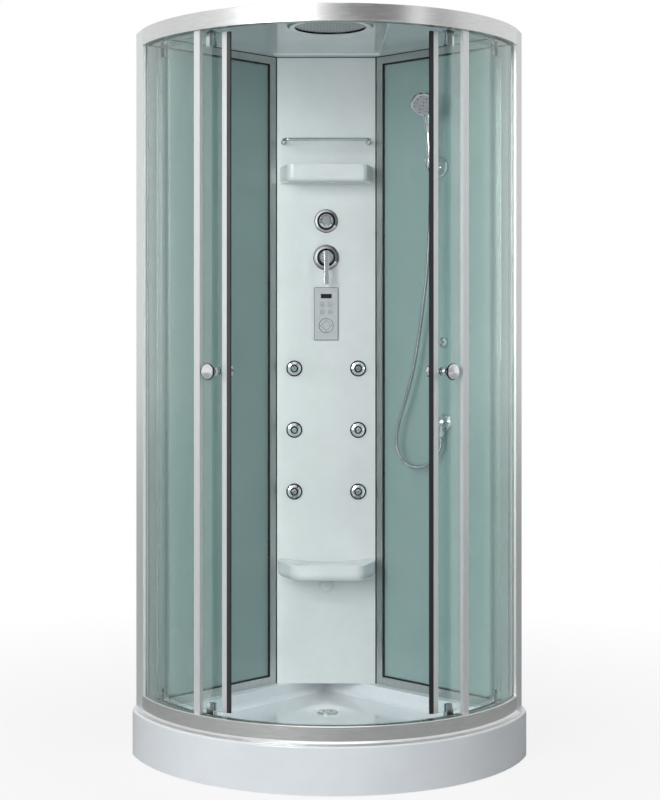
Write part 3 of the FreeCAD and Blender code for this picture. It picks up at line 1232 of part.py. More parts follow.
def door(side, sign, openness):
    def angle(more):
        return "%s(%s + (%s))" % (sign, openness, more)

    def sweep(name, inner, outer, low, high, start, end):
        first, last = angle(start), angle(end)
        if sign == "-":
            first, last = last, first
        return strip(name, inner, outer, low, high, first, last)

    inner = "doorRadius - glassThick / 2"
    outer = "doorRadius + glassThick / 2"
    glass = sweep(side + "Pane", inner, outer, "doorLow", "doorTop",
                  "sealSweep + stripSweep - stripGrip", "doorSweep")
    knobAngle = angle("knobSweep")
    knobAt = polar("doorRadius", knobAngle)
    knobHole = rod(side + "KnobHole", "glassBore", "glassThick * 4",
                   polar("doorRadius - glassThick * 2", knobAngle)[0],
                   polar("doorRadius - glassThick * 2", knobAngle)[1], "knobZ", knobAngle)
    piece(side + "_door_glass", cut(side + "Glass", glass, knobHole))

    band = sweep(side + "Band", "doorRadius - stripDeep / 2", "doorRadius + stripDeep / 2",
                 "doorLow", "doorTop", "sealSweep", "sealSweep + stripSweep")
    bandSlot = sweep(side + "BandSlot", inner, outer, "doorLow - 1", "doorTop + 1",
                     "sealSweep + stripSweep - stripGrip", "sealSweep + stripSweep + 1")
    piece(side + "_door_strip", cut(side + "Strip", band, bandSlot))
    piece(side + "_door_seal", slab(side + "Seal", [
        polar("doorRadius - stripDeep / 2 + 0.5", angle("sealSweep")),
        polar("doorRadius - glassThick / 2", angle("0")),
        polar("doorRadius + glassThick / 2", angle("0")),
        polar("doorRadius + stripDeep / 2 - 0.5", angle("sealSweep"))],
        "doorLow", "doorTop"))

    # knobs: a dished disc on a waisted neck, outside and inside the glass
    outerKnob = turned(side + "KnobOut", [
        ("0", "-glassThick - 8"), ("boltRadius", "-glassThick - 8"), ("boltRadius", "0"),
        ("collarRadius", "0"), ("collarRadius", "5"), ("neckRadius + 1.5", "9"),
        ("neckRadius", "neckLong * 0.5"), ("neckRadius + 1", "neckLong - 5"),
        ("discRadius - 3", "neckLong"), ("discRadius", "neckLong + 3"),
        ("discRadius", "neckLong + discThick - 4"),
        ("discRadius - 4", "neckLong + discThick - 1"),
        ("0", "neckLong + discThick")])
    x, y = polar(outer, knobAngle)
    place(outerKnob, x, y, "knobZ", knobAngle, 90)
    innerKnob = turned(side + "KnobIn", [
        ("boltRadius + pinFit", "0"), ("collarRadius", "0"), ("collarRadius", "5"),
        ("neckRadius + 1.5", "9"), ("neckRadius", "neckLong * 0.5"),
        ("neckRadius + 1", "neckLong - 5"), ("discRadius - 3", "neckLong"),
        ("discRadius", "neckLong + 3"), ("discRadius", "neckLong + discThick - 4"),
        ("discRadius - 4", "neckLong + discThick - 1"), ("0", "neckLong + discThick"),
        ("0", "9"), ("boltRadius + pinFit", "9")])
    x, y = polar(inner + " - collarGap", knobAngle)
    place(innerKnob, x, y, "knobZ", knobAngle, -90)
    piece(side + "_door_knob", group(side + "Knobs", outerKnob, innerKnob))

    # hangers with their axles, and guide shoes that straddle the rib
    metal = []
    for number_, more in (("1", "hangerFirst"), ("2", "hangerLast")):
        tag = side + "Hanger" + number_
        start = "%s - hangerSweep / 2" % more
        end = "%s + hangerSweep / 2" % more
        low = "doorTop - clampHigh"
        high = "doorTop + bridgeHigh"
        clampOut = sweep(tag + "Out", outer, outer + " + clampThick", low, high, start, end)
        clampIn = sweep(tag + "In", inner + " - clampThick", inner, low, high, start, end)
        bridge = sweep(tag + "Bridge", inner, outer, "doorTop", high, start, end)
        axis = "doorRadius + uprightIn"
        plate = sweep(tag + "Plate", axis + " - uprightHalf", axis + " + uprightHalf",
                      high + " - 1", wheelHeight + " + axleHead + 1",
                      "%s - uprightSweep / 2" % more, "%s + uprightSweep / 2" % more)
        x, y = polar(axis, angle(more))
        head = "railInner + trackThick + 0.6"
        axle = rod(tag + "Axle", "axleRadius", axis + " - (" + head + ")",
                   x, y, wheelHeight, angle(more), -90)
        x, y = polar(head + " + 1.2", angle(more))
        cap = rod(tag + "Cap", "axleHead", "1.2", x, y, wheelHeight, angle(more), -90)
        metal.append(join(tag + "Body", clampOut, clampIn, bridge, plate, axle, cap))

        wheelIn = head + " + 1.2 + 0.3"
        wheel = turned(side + "Wheel" + number_, [
            ("axleRadius + pinFit", "0"), ("wheelRadius - 1", "0"), ("wheelRadius", "1"),
            ("wheelRadius", "wheelWide - 1"), ("wheelRadius - 1", "wheelWide"),
            ("axleRadius + pinFit", "wheelWide")])
        x, y = polar(wheelIn, angle(more))
        place(wheel, x, y, wheelHeight, angle(more), 90)
        piece(side + "_wheel_" + number_, wheel)

        tag = side + "Shoe" + number_
        ribTop = "rimHigh + railWeb + ribHigh"
        shoeLow = "doorLow - 22"
        shoeStart = "%s - shoeSweep / 2" % more
        shoeEnd = "%s + shoeSweep / 2" % more
        shoeIn = inner + " - shoeThick"
        shoeOut = outer + " + shoeThick"
        block = sweep(tag + "Block", shoeIn, shoeOut, shoeLow, shoeLow + " + shoeHigh",
                      shoeStart, shoeEnd)
        glassRoom = sweep(tag + "Glass", inner, outer, "doorLow", "doorTop",
                          shoeStart + " - 1", shoeEnd + " + 1")
        ribRoom = sweep(tag + "Rib", "doorRadius - ribWide / 2 - shoeRib",
                        "doorRadius + ribWide / 2 + shoeRib", shoeLow + " - 1",
                        ribTop + " + shoeRib", shoeStart + " - 1", shoeEnd + " + 1")
        metal.append(cut(tag + "Body", block, glassRoom, ribRoom))
    piece(side + "_door_brackets", group(side + "Metal", *metal))


door("right", "", "openRight")
door("left", "-", "openLeft")

# ------------------------------------------------ right wall fittings


def off_wall(s, off):
    # plan position of a point that stands off the right wall's inner face
    return ("((%s) - wallDeep - (%s)) * cos(45)" % (s, off),
            "backCornerY - ((%s) + wallDeep + (%s)) * cos(45)" % (s, off))


def wall_turned(name, points, s, z, off="0"):
    x, y = off_wall(s, off)
    return place(turned(name, points), x, y, z, "-45", 90)


def along_wall(name, radius, s0, s1, off, z):
    x, y = off_wall(s0, off)
    return rod(name, radius, "(%s) - (%s)" % (s1, s0), x, y, z, "45")


def wall_block(name, s0, s1, off0, off1, z0, z1):
    return wall_box(name, s0, s1, "wallDeep + (%s)" % off0, "wallDeep + (%s)" % off1, z0, z1)


# the glass sheet lies a little behind the frame's face, so each rosette
# reaches back to it
sunk = "-6"
rose = wall_turned("holderRose", [
    ("0", sunk), ("holderPlate", sunk), ("holderPlate", "holderPlateThick * 0.5"),
    ("holderPlate - 3", "holderPlateThick"), ("holderStem + 3", "holderPlateThick"),
    ("holderNeck", "holderPlateThick + 3"), ("holderNeck", "holderPivot"),
    ("0", "holderPivot")], "holderS", "holderZ")
knuckle = along_wall("holderKnuckle", "holderStem", "holderS - 5", "holderS + 5",
                     "holderPivot", "holderZ")
knuckleBore = along_wall("knuckleBore", "leverPin + pinFit", "holderS - 20", "holderS + 20",
                         "holderPivot", "holderZ")
holderFixed = cut("holderFixed", join("holderStemJoined", rose, knuckle),
                  knuckleBore)
hook = wall_turned("hookBody", [
    ("0", sunk), ("hookPlate", sunk), ("hookPlate", "3"), ("hookPlate - 3", "6"),
    ("5", "8"), ("4", "16"), ("8", "20"), ("8", "23"), ("6", "25"), ("0", "25")],
    "hookS", "hookZ")
piece("wall_holders", group("holdersAll", holderFixed, hook))

elbowRose = wall_turned("elbowRose", [
    ("0", sunk), ("elbowPlate", sunk), ("elbowPlate", "3"), ("elbowPlate - 3", "7"),
    ("nutRadius + 8", "9"), ("nutRadius + 6", "elbowReach - 2"),
    ("nutRadius + 3", "elbowReach + 6"), ("nutRadius - 4", "elbowReach + 10"),
    ("0", "elbowReach + 11")], "elbowS", "elbowZ")
x, y = off_wall("elbowS", "elbowReach")
elbowDrop = post("elbowDrop", "nutRadius - 1.5", "nutLow + nutLong", "elbowZ", x, y)
elbowNut = turned("elbowNut", [
    ("0", "0"), ("nutRadius - 2", "0"), ("nutRadius", "3"), ("nutRadius", "nutLong - 1"),
    ("nutRadius - 1", "nutLong"), ("0", "nutLong")])
place(elbowNut, x, y, "nutLow")
piece("outlet_elbow", join("elbowBody", elbowRose, elbowDrop, elbowNut))

# handset: the handle's own axis, leaning off the wall, then the head
handleX, handleY = off_wall("handleS", "handleOff")
handleBase = spot(handleX, handleY, "handleLow")
lean = FreeCAD.Rotation(FreeCAD.Vector(0, 0, 1), -45).multiply(
    FreeCAD.Rotation(FreeCAD.Vector(1, 0, 0), number("handleLean"))).multiply(
    FreeCAD.Rotation(FreeCAD.Vector(0, 1, 0), number("handleTurn")))
handsetPlace = FreeCAD.Placement(handleBase, lean)

handle = turned("handle", [
    ("0", "-nutLong + 2"), ("nutRadius - 2", "-nutLong + 2"), ("nutRadius", "-nutLong + 5"),
    ("nutRadius", "-2"), ("nutRadius - 1.5", "0"), ("handleThin + 2.4", "6"),
    ("handleThin + 2.4", "24"), ("handleThin", "34"), ("handleThin", "handleLong - 20"),
    ("handleThin + 3", "handleLong"), ("handleThin + 4", "handleLong + 4"),
    ("0", "handleLong + 4")])
handle.Placement = handsetPlace
headLow = "-headThick / 2"
headTurned = turned("headTurned", [
    ("0", "headThick * 0.62"), ("headRadius * 0.55", "headThick * 0.55"),
    ("headRadius * 0.85", "headThick * 0.3"), ("headRadius", "0"),
    ("headRadius", headLow + " + 3"), ("headRadius - 3", headLow),
    ("headRadius * 0.8", headLow), ("headRadius * 0.8", headLow + " + 3"),
    ("0", headLow + " + 3")])
tiltHead = FreeCAD.Rotation(FreeCAD.Vector(0, 0, 1), number("headYaw")).multiply(
    FreeCAD.Rotation(FreeCAD.Vector(1, 0, 0), -90 + number("headTilt")))
headSpot = FreeCAD.Rotation(FreeCAD.Vector(0, 0, 1), number("headYaw")).multVec(
    FreeCAD.Vector(0, -number("headOut"), number("headUp")))
headPlace = handsetPlace.multiply(FreeCAD.Placement(headSpot, tiltHead))
headTurned.Placement = headPlace
neckTop = headPlace.multVec(FreeCAD.Vector(0, number("headRadius") * 0.585,
                                           number("headThick") * 0.05))
neckLowSpot = handsetPlace.multVec(FreeCAD.Vector(0, 0, number("handleLong") + 1))
neckAxis = neckTop - neckLowSpot
lowRing = Part.Circle(neckLowSpot, handsetPlace.Rotation.multVec(FreeCAD.Vector(0, 0, 1)),
                      number("handleThin") + 3.6)
highRing = Part.Circle(neckTop, neckAxis, number("headRadius") * 0.25)
neck = shaped("handsetNeck", Part.makeLoft([Part.Wire([lowRing.toShape()]),
                                            Part.Wire([highRing.toShape()])], True, True))
faceRoom = turned("faceRoom", [
    ("0", headLow + " - 25"), ("headRadius * 0.8", headLow + " - 25"),
    ("headRadius * 0.8", headLow + " + 3"), ("0", headLow + " + 3")])
faceRoom.Placement = headPlace
piece("handset_body", cut("handsetBody", join("handsetJoined", handle, headTurned, neck),
                          faceRoom))
faceDisc = turned("faceDisc", [
    ("0", headLow + " + 0.4"), ("headRadius * 0.8 - 0.2", headLow + " + 0.4"),
    ("headRadius * 0.8 - 0.2", headLow + " + 3"), ("0", headLow + " + 3")])
faceDisc.Placement = headPlace
piece("handset_face", faceDisc)

# holder arm: two cheeks on the knuckle, and a cup along the handle's axis
cheeks = []
for name, s0, s1 in (("cheekA", "holderS - 5.3 - cheekThick", "holderS - 5.3"),
                     ("cheekB", "holderS + 5.3", "holderS + 5.3 + cheekThick")):
    cheeks.append(along_wall(name, "holderStem", s0, s1, "holderPivot", "holderZ"))
    cheeks.append(wall_block(name + "Arm", s0, s1, "holderPivot", "holderPivot + 14",
                             "holderZ - 6", "holderZ + 6"))
armPin = along_wall("armPin", "leverPin", "holderS - 6", "holderS + 6", "holderPivot",
                    "holderZ")
cupBlock = turned("cupBlock", [
    ("0", "2"), ("handleThin + 2.7 + cupWall", "2"),
    ("handleThin + 2.7 + cupWall", "2 + cupHigh"), ("0", "2 + cupHigh")])
cupBlock.Placement = handsetPlace
cupBore = turned("cupBore", [
    ("0", "-5"), ("handleThin + 2.7", "-5"), ("handleThin + 2.7", "40"), ("0", "40")])
cupBore.Placement = handsetPlace
piece("holder_arm", cut("holderArm", join("holderArmJoined", armPin, cupBlock, *cheeks), cupBore))

# ---------------------------------------------------------- shower hose

# route from the handset's nut to the outlet's nut: along the wall, off the
# wall, height
hoseRoute = [
    (505.5, 42.6, 1652), (501.5, 39.5, 1606), (498, 38, 1547), (495, 38, 1484),
    (490, 38, 1420), (482, 38, 1356), (471.8, 38, 1289), (460, 38, 1220), (445.5, 38, 1148),
    (427, 38, 1075), (405.5, 38, 1013), (384, 38, 960), (369.5, 38, 915), (364, 38, 877),
    (371, 38, 845.5), (390, 38, 820), (418, 38, 805), (449, 37, 802), (476.5, 34.5, 808),
    (499, 31, 821), (515, 26.5, 839.5), (524.5, 22, 860)]
nutEnd = handsetPlace.multVec(FreeCAD.Vector(0, 0, 2 - number("nutLong")))
hosePoints = [nutEnd]
for s, off, z in hoseRoute:
    x, y = off_wall(str(s), str(off))
    hosePoints.append(spot(x, y, str(z)))
x, y = off_wall("elbowS", "elbowReach")
hosePoints.append(spot(x, y, "nutLow - 20"))
hosePoints.append(spot(x, y, "nutLow"))
firstRun = (hosePoints[1] - hosePoints[0]).Length
hosePoints[1] = handsetPlace.multVec(FreeCAD.Vector(0, 0, 2 - number("nutLong") - firstRun))
hoseRadii = []
for i in range(1, len(hosePoints) - 1):
    before = hosePoints[i - 1] - hosePoints[i]
    after = hosePoints[i + 1] - hosePoints[i]
    half = math.pi / 2 - before.getAngle(after) / 2
    hoseRadii.append(0.45 * min(before.Length, after.Length) / math.tan(half))
hoseShape, hoseLength = pipe_shape(hosePoints, hoseRadii, number("hoseRadius"))
hoseSection = math.pi * number("hoseRadius") ** 2
print("hose length %.1f, volume %.0f against %.0f, radii %s" % (
    hoseLength, hoseShape.Volume, hoseSection * hoseLength,
    " ".join("%.0f" % r for r in hoseRadii)))
print("hose points " + " ".join("(%.1f, %.1f, %.1f)" % tuple(p) for p in hosePoints))
piece("shower_hose", shaped("hoseTube", hoseShape))

# ----------------------------------------------------- checks and files

doc.removeObject("probe")
doc.recompute()
for thing in doc.Objects:
    if "Invalid" in thing.State or "Error" in thing.State:
        raise RuntimeError("failed: " + thing.Name + " " + thing.Label)
for thing in pieces:
    if thing.Shape.isNull() or not thing.Shape.isValid() or not thing.Shape.Solids:
        raise RuntimeError("bad shape: " + thing.Label)
os.makedirs("parts", exist_ok=True)
for thing in pieces:
    thing.Shape.exportStep("parts/" + thing.Label + ".step")
print("%d parts" % len(pieces))
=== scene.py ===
import json
import math

import bmesh
import bpy
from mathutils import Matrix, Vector


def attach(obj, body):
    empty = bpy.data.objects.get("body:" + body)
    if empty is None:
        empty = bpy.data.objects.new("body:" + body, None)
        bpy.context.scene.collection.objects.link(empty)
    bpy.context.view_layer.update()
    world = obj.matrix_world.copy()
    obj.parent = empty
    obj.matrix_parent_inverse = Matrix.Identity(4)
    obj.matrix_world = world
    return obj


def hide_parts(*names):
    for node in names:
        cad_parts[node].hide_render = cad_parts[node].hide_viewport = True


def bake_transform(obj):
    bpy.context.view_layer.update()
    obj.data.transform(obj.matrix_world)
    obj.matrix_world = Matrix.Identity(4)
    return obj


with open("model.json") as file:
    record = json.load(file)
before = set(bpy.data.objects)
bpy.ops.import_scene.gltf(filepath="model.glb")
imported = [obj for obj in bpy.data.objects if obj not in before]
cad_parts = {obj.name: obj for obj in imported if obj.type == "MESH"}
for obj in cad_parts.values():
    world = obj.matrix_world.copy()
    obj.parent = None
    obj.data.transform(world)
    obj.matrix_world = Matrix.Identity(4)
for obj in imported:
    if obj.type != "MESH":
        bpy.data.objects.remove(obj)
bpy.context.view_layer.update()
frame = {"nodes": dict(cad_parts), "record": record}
nodes = frame["nodes"]
scene = bpy.context.scene
print("frame loaded,", len(nodes), "nodes")


def sceneObject(name, data):
    thing = bpy.data.objects.new(name, data)
    scene.collection.objects.link(thing)
    return thing


# camera, as solved from the photograph

cameraView = {
    "place": (-0.1051, -4.7149, 1.2142),
    "turnLeft": 0.008,   # radians
    "lens": 72.59,
    "shift": (0.063, -0.0865),
    "farthest": 60,
}

cameraData = bpy.data.cameras.new("photoCamera")
cameraData.lens = cameraView["lens"]
cameraData.shift_x, cameraData.shift_y = cameraView["shift"]
cameraData.clip_end = cameraView["farthest"]
camera = sceneObject("photoCamera", cameraData)
camera.location = cameraView["place"]
camera.rotation_euler = (math.radians(90), 0, cameraView["turnLeft"])
scene.camera = camera


# shower hose: a metal strip wound round a dark tube; the tube's darkness is painted shade in the
# grooves between the windings

hose = {
    "points": [  # from the wall outlet round the low loop and up to the handset
        (0.3391, 0.1073, 0.8960), (0.3391, 0.1073, 0.8760), (0.3355, 0.1081, 0.8600),
        (0.3256, 0.1116, 0.8395), (0.3111, 0.1197, 0.8210), (0.2927, 0.1332, 0.8080),
        (0.2715, 0.1508, 0.8020), (0.2489, 0.1721, 0.8050), (0.2291, 0.1919, 0.8200),
        (0.2157, 0.2053, 0.8455), (0.2107, 0.2102, 0.8770), (0.2146, 0.2064, 0.9150),
        (0.2249, 0.1961, 0.9600), (0.2401, 0.1809, 1.0130), (0.2553, 0.1657, 1.0750),
        (0.2683, 0.1526, 1.1480), (0.2786, 0.1424, 1.2200), (0.2869, 0.1340, 1.2890),
        (0.2942, 0.1268, 1.3560), (0.2998, 0.1211, 1.4200), (0.3033, 0.1176, 1.4840),
        (0.3055, 0.1155, 1.5470), (0.3069, 0.1120, 1.6060), (0.3084, 0.1037, 1.6514),
        (0.3067, 0.0989, 1.6862),
    ],
    "radius": 0.006,
    "wire": 0.0011,      # radius of the wound metal strip
    "pitch": 0.0052,
    "stepsATurn": 10,
    "stepsAPoint": 12,   # spline steps between two points
    "roundness": 3,      # of the tube; the strip has 0, four flat sides
    "bendStart": 1.50,   # height where it begins to follow the handset
    "bendEnd": 1.66,
}


def curveObject(name, kind, points, radius=0.0, roundness=0):
    curve = bpy.data.curves.new(name, "CURVE")
    curve.dimensions = "3D"
    spline = curve.splines.new(kind)
    spline.points.add(len(points) - 1)
    for point, place in zip(spline.points, points):
        point.co = (*place, 1)
    if kind == "NURBS":
        spline.order_u = 3
        spline.use_endpoint_u = True
        spline.resolution_u = hose["stepsAPoint"]
    curve.bevel_depth = radius
    curve.bevel_resolution = roundness
    curve.use_fill_caps = radius > 0
    return bpy.data.objects.new(name, curve)


def meshOf(source, name):
    mesh = bpy.data.meshes.new_from_object(source)
    mesh.name = name
    for face in mesh.polygons:
        face.use_smooth = True
    return sceneObject(name, mesh)


def evenSteps(line, step):
    # the same line in even steps
    out = [line[0]]
    left = step
    for a, b in zip(line, line[1:]):
        run = (b - a).length
        while run >= left:
            a = a.lerp(b, left / run)
            out.append(a.copy())
            run = (b - a).length
            left = step
        left -= run
    return out


def helixAround(line, radius, pitch, stepsATurn):
    fine = evenSteps(line, pitch / stepsATurn)
    side = (fine[1] - fine[0]).orthogonal().normalized()
    turns = []
    for i, (a, b) in enumerate(zip(fine, fine[1:])):
        ahead = (b - a).normalized()
        side = (side - ahead * side.dot(ahead)).normalized()
        angle = 2 * math.pi * i / stepsATurn
        turns.append(a + (side * math.cos(angle) + ahead.cross(side) * math.sin(angle)) * radius)
    return turns


routeLine = curveObject("hoseRoute", "NURBS", hose["points"])
hoseLine = [v.co.copy() for v in bpy.data.meshes.new_from_object(routeLine).vertices]
coreRadius = hose["radius"] - hose["wire"]
hoseShadeCore = curveObject("hoseShadeCore", "NURBS", hose["points"], coreRadius, hose["roundness"])
hoseTube = meshOf(hoseShadeCore, "hose_tube")
wireLine = helixAround(hoseLine, coreRadius, hose["pitch"], hose["stepsATurn"])
hoseWire = meshOf(curveObject("hoseWind", "POLY", wireLine, hose["wire"]), "hose_wire")


# curved glass in fine steps, for clean refraction: angles from the front, to the right
sheets = {
    "centre": 0.0757,
    "fineness": 0.5,     # degrees
    "crease": 0.6,       # radians, the least turn that shows as an edge
    "fixed": {"inner": 0.553, "outer": 0.559, "low": 0.1603, "high": 2.0437,
              "spans": [(-71.25, -39.9), (39.9, 71.25)]},
    "doors": {"inner": 0.512, "outer": 0.518, "low": 0.182, "high": 2.022,
              "left": (-72.02, -33.82), "right": (32.85, 71.05),
              "boltLeft": -36.87, "boltRight": 35.9, "boltHeight": 1.104,
              "boltRoom": (0.5, 0.0045),   # half of its hole, in degrees and in height
              "boltClear": 1.5},           # steps nearer than this share of it are left out
}


def bentSheet(bm, sheet, span, bolt=None):
    steps = max(2, round((span[1] - span[0]) / sheets["fineness"]))
    angles = [span[0] + (span[1] - span[0]) * i / steps for i in range(steps + 1)]
    heights = [sheet["low"], sheet["high"]]
    if bolt is not None:
        wide, tall = sheet["boltRoom"]
        angles = [a for a in angles if abs(a - bolt) > wide * sheet["boltClear"]]
        angles = sorted(angles + [bolt - wide, bolt + wide])
        heights[1:1] = [sheet["boltHeight"] - tall, sheet["boltHeight"] + tall]
    grid = {}
    for i, angle in enumerate(angles):
        turn = math.radians(angle)
        for j, height in enumerate(heights):
            for k, radius in enumerate((sheet["inner"], sheet["outer"])):
                grid[i, j, k] = bm.verts.new((radius * math.sin(turn),
                                              sheets["centre"] - radius * math.cos(turn), height))
    cells = {(i, j) for i in range(len(angles) - 1) for j in range(len(heights) - 1)}
    if bolt is not None:
        cells.discard((angles.index(bolt - wide), 1))
    for i, j in cells:
        around = [(i, j), (i + 1, j), (i + 1, j + 1), (i, j + 1)]
        bm.faces.new([grid[a, b, 1] for a, b in around]).smooth = True
        bm.faces.new([grid[a, b, 0] for a, b in reversed(around)]).smooth = True
        sides = [(i, j - 1), (i + 1, j), (i, j + 1), (i - 1, j)]
        for beside, (a, b), (c, d) in zip(sides, around, around[1:] + around[:1]):
            if beside not in cells:
                bm.faces.new([grid[a, b, 0], grid[c, d, 0], grid[c, d, 1], grid[a, b, 1]])


def glassPiece(name, sheet, spans, bolt=None):
    bm = bmesh.new()
    for span in spans:
        bentSheet(bm, sheet, span, bolt)
    bmesh.ops.recalc_face_normals(bm, faces=bm.faces)
    for edge in bm.edges:
        edge.smooth = edge.calc_face_angle(0) < sheets["crease"]
    mesh = bpy.data.meshes.new(name)
    bm.to_mesh(mesh)
    bm.free()
    return sceneObject(name, mesh)


doorSheet = sheets["doors"]
fixedGlass = glassPiece("fixed_glass", sheets["fixed"], sheets["fixed"]["spans"])
leftGlass = glassPiece("left_glass", doorSheet, [doorSheet["left"]], doorSheet["boltLeft"])
rightGlass = glassPiece("right_glass", doorSheet, [doorSheet["right"]], doorSheet["boltRight"])
print("glass sheets made")


# node tools

noiseSpan = (0.3, 0.7)   # where nearly all of a noise texture's values lie


def screen(red, green, blue):
    # a screen colour, 0 to 255, as light
    return [((c / 255 + 0.055) / 1.055) ** 2.4 for c in (red, green, blue)] + [1.0]


def maths(tree, operation, *values):
    # one maths step on node outputs and plain numbers
    node = tree.nodes.new("ShaderNodeMath")
    node.operation = operation
    for socket, value in zip(node.inputs, values):
        if isinstance(value, (int, float)):
            socket.default_value = value
        else:
            tree.links.new(value, socket)
    return node.outputs[0]


def spread(tree, value, low, high, start=noiseSpan[0], end=noiseSpan[1]):
    # low to high, as the value goes from start to end
    node = tree.nodes.new("ShaderNodeMapRange")
    node.inputs["From Min"].default_value = start
    node.inputs["From Max"].default_value = end
    node.inputs["To Min"].default_value = low
    node.inputs["To Max"].default_value = high
    tree.links.new(value, node.inputs["Value"])
    return node.outputs["Result"]


def mixed(tree, share, first, second):
    # one shader that gives way to another
    node = tree.nodes.new("ShaderNodeMixShader")
    for socket, value in zip(node.inputs, (share, first, second)):
        tree.links.new(value, socket)
    return node.outputs["Shader"]


def rays(tree, *kinds):
    # 1 for these kinds of ray, of which there are one or two, and 0 for others
    path = tree.nodes.new("ShaderNodeLightPath")
    outputs = [path.outputs["Is %s Ray" % kind] for kind in kinds]
    return maths(tree, "MAXIMUM", *outputs) if len(outputs) > 1 else outputs[0]


def coordinates(tree, output="Object"):
    return tree.nodes.new("ShaderNodeTexCoord").outputs[output]


def texture(tree, kind, scale, stretch=(1, 1, 1), **settings):
    mapping = tree.nodes.new("ShaderNodeMapping")
    mapping.inputs["Scale"].default_value = stretch
    node = tree.nodes.new("ShaderNodeTex" + kind)
    node.inputs["Scale"].default_value = scale
    for socket, value in settings.items():
        node.inputs[socket].default_value = value
    tree.links.new(coordinates(tree), mapping.inputs["Vector"])
    tree.links.new(mapping.outputs["Vector"], node.inputs["Vector"])
    return node


def newMaterial(name, **settings):
    material = bpy.data.materials.new(name)
    material.use_nodes = True
    tree = material.node_tree
    shader = tree.nodes["Principled BSDF"]
    for socket, value in settings.items():
        shader.inputs[socket.replace("_", " ")].default_value = value
    return material, tree, shader


def shown(tree, shader):
    tree.links.new(shader, tree.nodes["Material Output"].inputs["Surface"])


def uneven(tree, shader, value, dark, pale, rough):
    # colour and gloss that wander with a noise
    ramp = tree.nodes.new("ShaderNodeValToRGB")
    for element, stop, colour in zip(ramp.color_ramp.elements, noiseSpan, (dark, pale)):
        element.position = stop
        element.color = colour
    tree.links.new(value, ramp.inputs["Fac"])
    tree.links.new(ramp.outputs["Color"], shader.inputs["Base Color"])
    tree.links.new(spread(tree, value, *rough), shader.inputs["Roughness"])


def relief(tree, shader, value, strength, depth):
    bump = tree.nodes.new("ShaderNodeBump")
    bump.inputs["Strength"].default_value = strength
    bump.inputs["Distance"].default_value = depth
    tree.links.new(value, bump.inputs["Height"])
    tree.links.new(bump.outputs["Normal"], shader.inputs["Normal"])


# kinds of material

noises = {
    "cloud": {"Detail": 4, "Roughness": 0.6}, "cloudScale": 7,
    "grain": {"Detail": 3}, "grainBump": 0.15,
    "brush": {"Detail": 6, "Roughness": 0.65},
    "pane": {"Detail": 3, "Roughness": 0.5}, "paneScale": 2.2,
    "coatRoughness": 0.06, "glassIndex": 1.5,
}


def plastic(name, dark, pale, rough, grain=900, depth=0.0002, coat=0.0):
    # moulded plastic: faint clouding, uneven gloss, fine grain
    material, tree, shader = newMaterial(name, Coat_Weight=coat,
                                         Coat_Roughness=noises["coatRoughness"])
    cloud = texture(tree, "Noise", noises["cloudScale"], **noises["cloud"])
    uneven(tree, shader, cloud.outputs["Fac"], dark, pale, rough)
    fine = texture(tree, "Noise", grain, **noises["grain"])
    relief(tree, shader, fine.outputs["Fac"], noises["grainBump"], depth)
    return material


def metal(name, dark, pale, rough, stretch=(1, 1, 1), grain=40, depth=0.0001, bumpiness=0.1,
          metallic=1.0):
    # metal with its brushing or polish marks along the short stretch
    material, tree, shader = newMaterial(name, Metallic=metallic)
    brushed = texture(tree, "Noise", grain, stretch, **noises["brush"])
    uneven(tree, shader, brushed.outputs["Fac"], dark, pale, rough)
    relief(tree, shader, brushed.outputs["Fac"], bumpiness, depth)
    return material


def glass(name, shade, tint, passed, weight, rough):
    # a tinted pane that lets the lamps' light through
    material, tree, shader = newMaterial(name, IOR=noises["glassIndex"],
                                         Transmission_Weight=weight)
    cloud = texture(tree, "Noise", noises["paneScale"], **noises["pane"])
    uneven(tree, shader, cloud.outputs["Fac"], shade, tint, rough)
    clear = tree.nodes.new("ShaderNodeBsdfTransparent")
    clear.inputs["Color"].default_value = passed
    shown(tree, mixed(tree, rays(tree, "Shadow"), shader.outputs["BSDF"], clear.outputs["BSDF"]))
    return material


def nearest(tree, flat, spots):
    # distance from the nearest of these points, looking along the flattened axis
    flatten = tree.nodes.new("ShaderNodeVectorMath")
    flatten.operation = "MULTIPLY"
    flatten.inputs[1].default_value = flat
    tree.links.new(coordinates(tree), flatten.inputs[0])
    found = None
    for spot in spots:
        gap = tree.nodes.new("ShaderNodeVectorMath")
        gap.operation = "DISTANCE"
        gap.inputs[1].default_value = spot
        tree.links.new(flatten.outputs["Vector"], gap.inputs[0])
        value = gap.outputs["Value"]
        found = maths(tree, "MINIMUM", found, value) if found else value
    return found


def along(tree, axis, centre=0.0):
    # distance from a plane across one axis
    split = tree.nodes.new("ShaderNodeSeparateXYZ")
    tree.links.new(coordinates(tree), split.inputs[0])
    return maths(tree, "ABSOLUTE", maths(tree, "SUBTRACT", split.outputs[axis], centre))


def inked(tree, value, bands, shade=(0.03, 0.03, 0.035, 1)):
    # a darker finish wherever the distance lies in one of the bands
    shader = tree.nodes["Principled BSDF"]
    for low, high in bands:
        dark = tree.nodes.new("ShaderNodeMixRGB")
        dark.blend_type = "MULTIPLY"
        dark.inputs["Color2"].default_value = shade
        before = shader.inputs["Base Color"].links[0].from_socket
        inside = maths(tree, "COMPARE", value, (low + high) / 2, (high - low) / 2)
        tree.links.new(inside, dark.inputs["Fac"])
        tree.links.new(before, dark.inputs["Color1"])
        tree.links.new(dark.outputs["Color"], shader.inputs["Base Color"])


def drilled(tree, spacing, share, shade):
    # even rows of small dark holes
    holes = texture(tree, "Voronoi", 1 / spacing, Randomness=0.0)
    inked(tree, holes.outputs["Distance"], [(0, share)], shade)


# finishes: the dark and the pale colour between which each one wanders

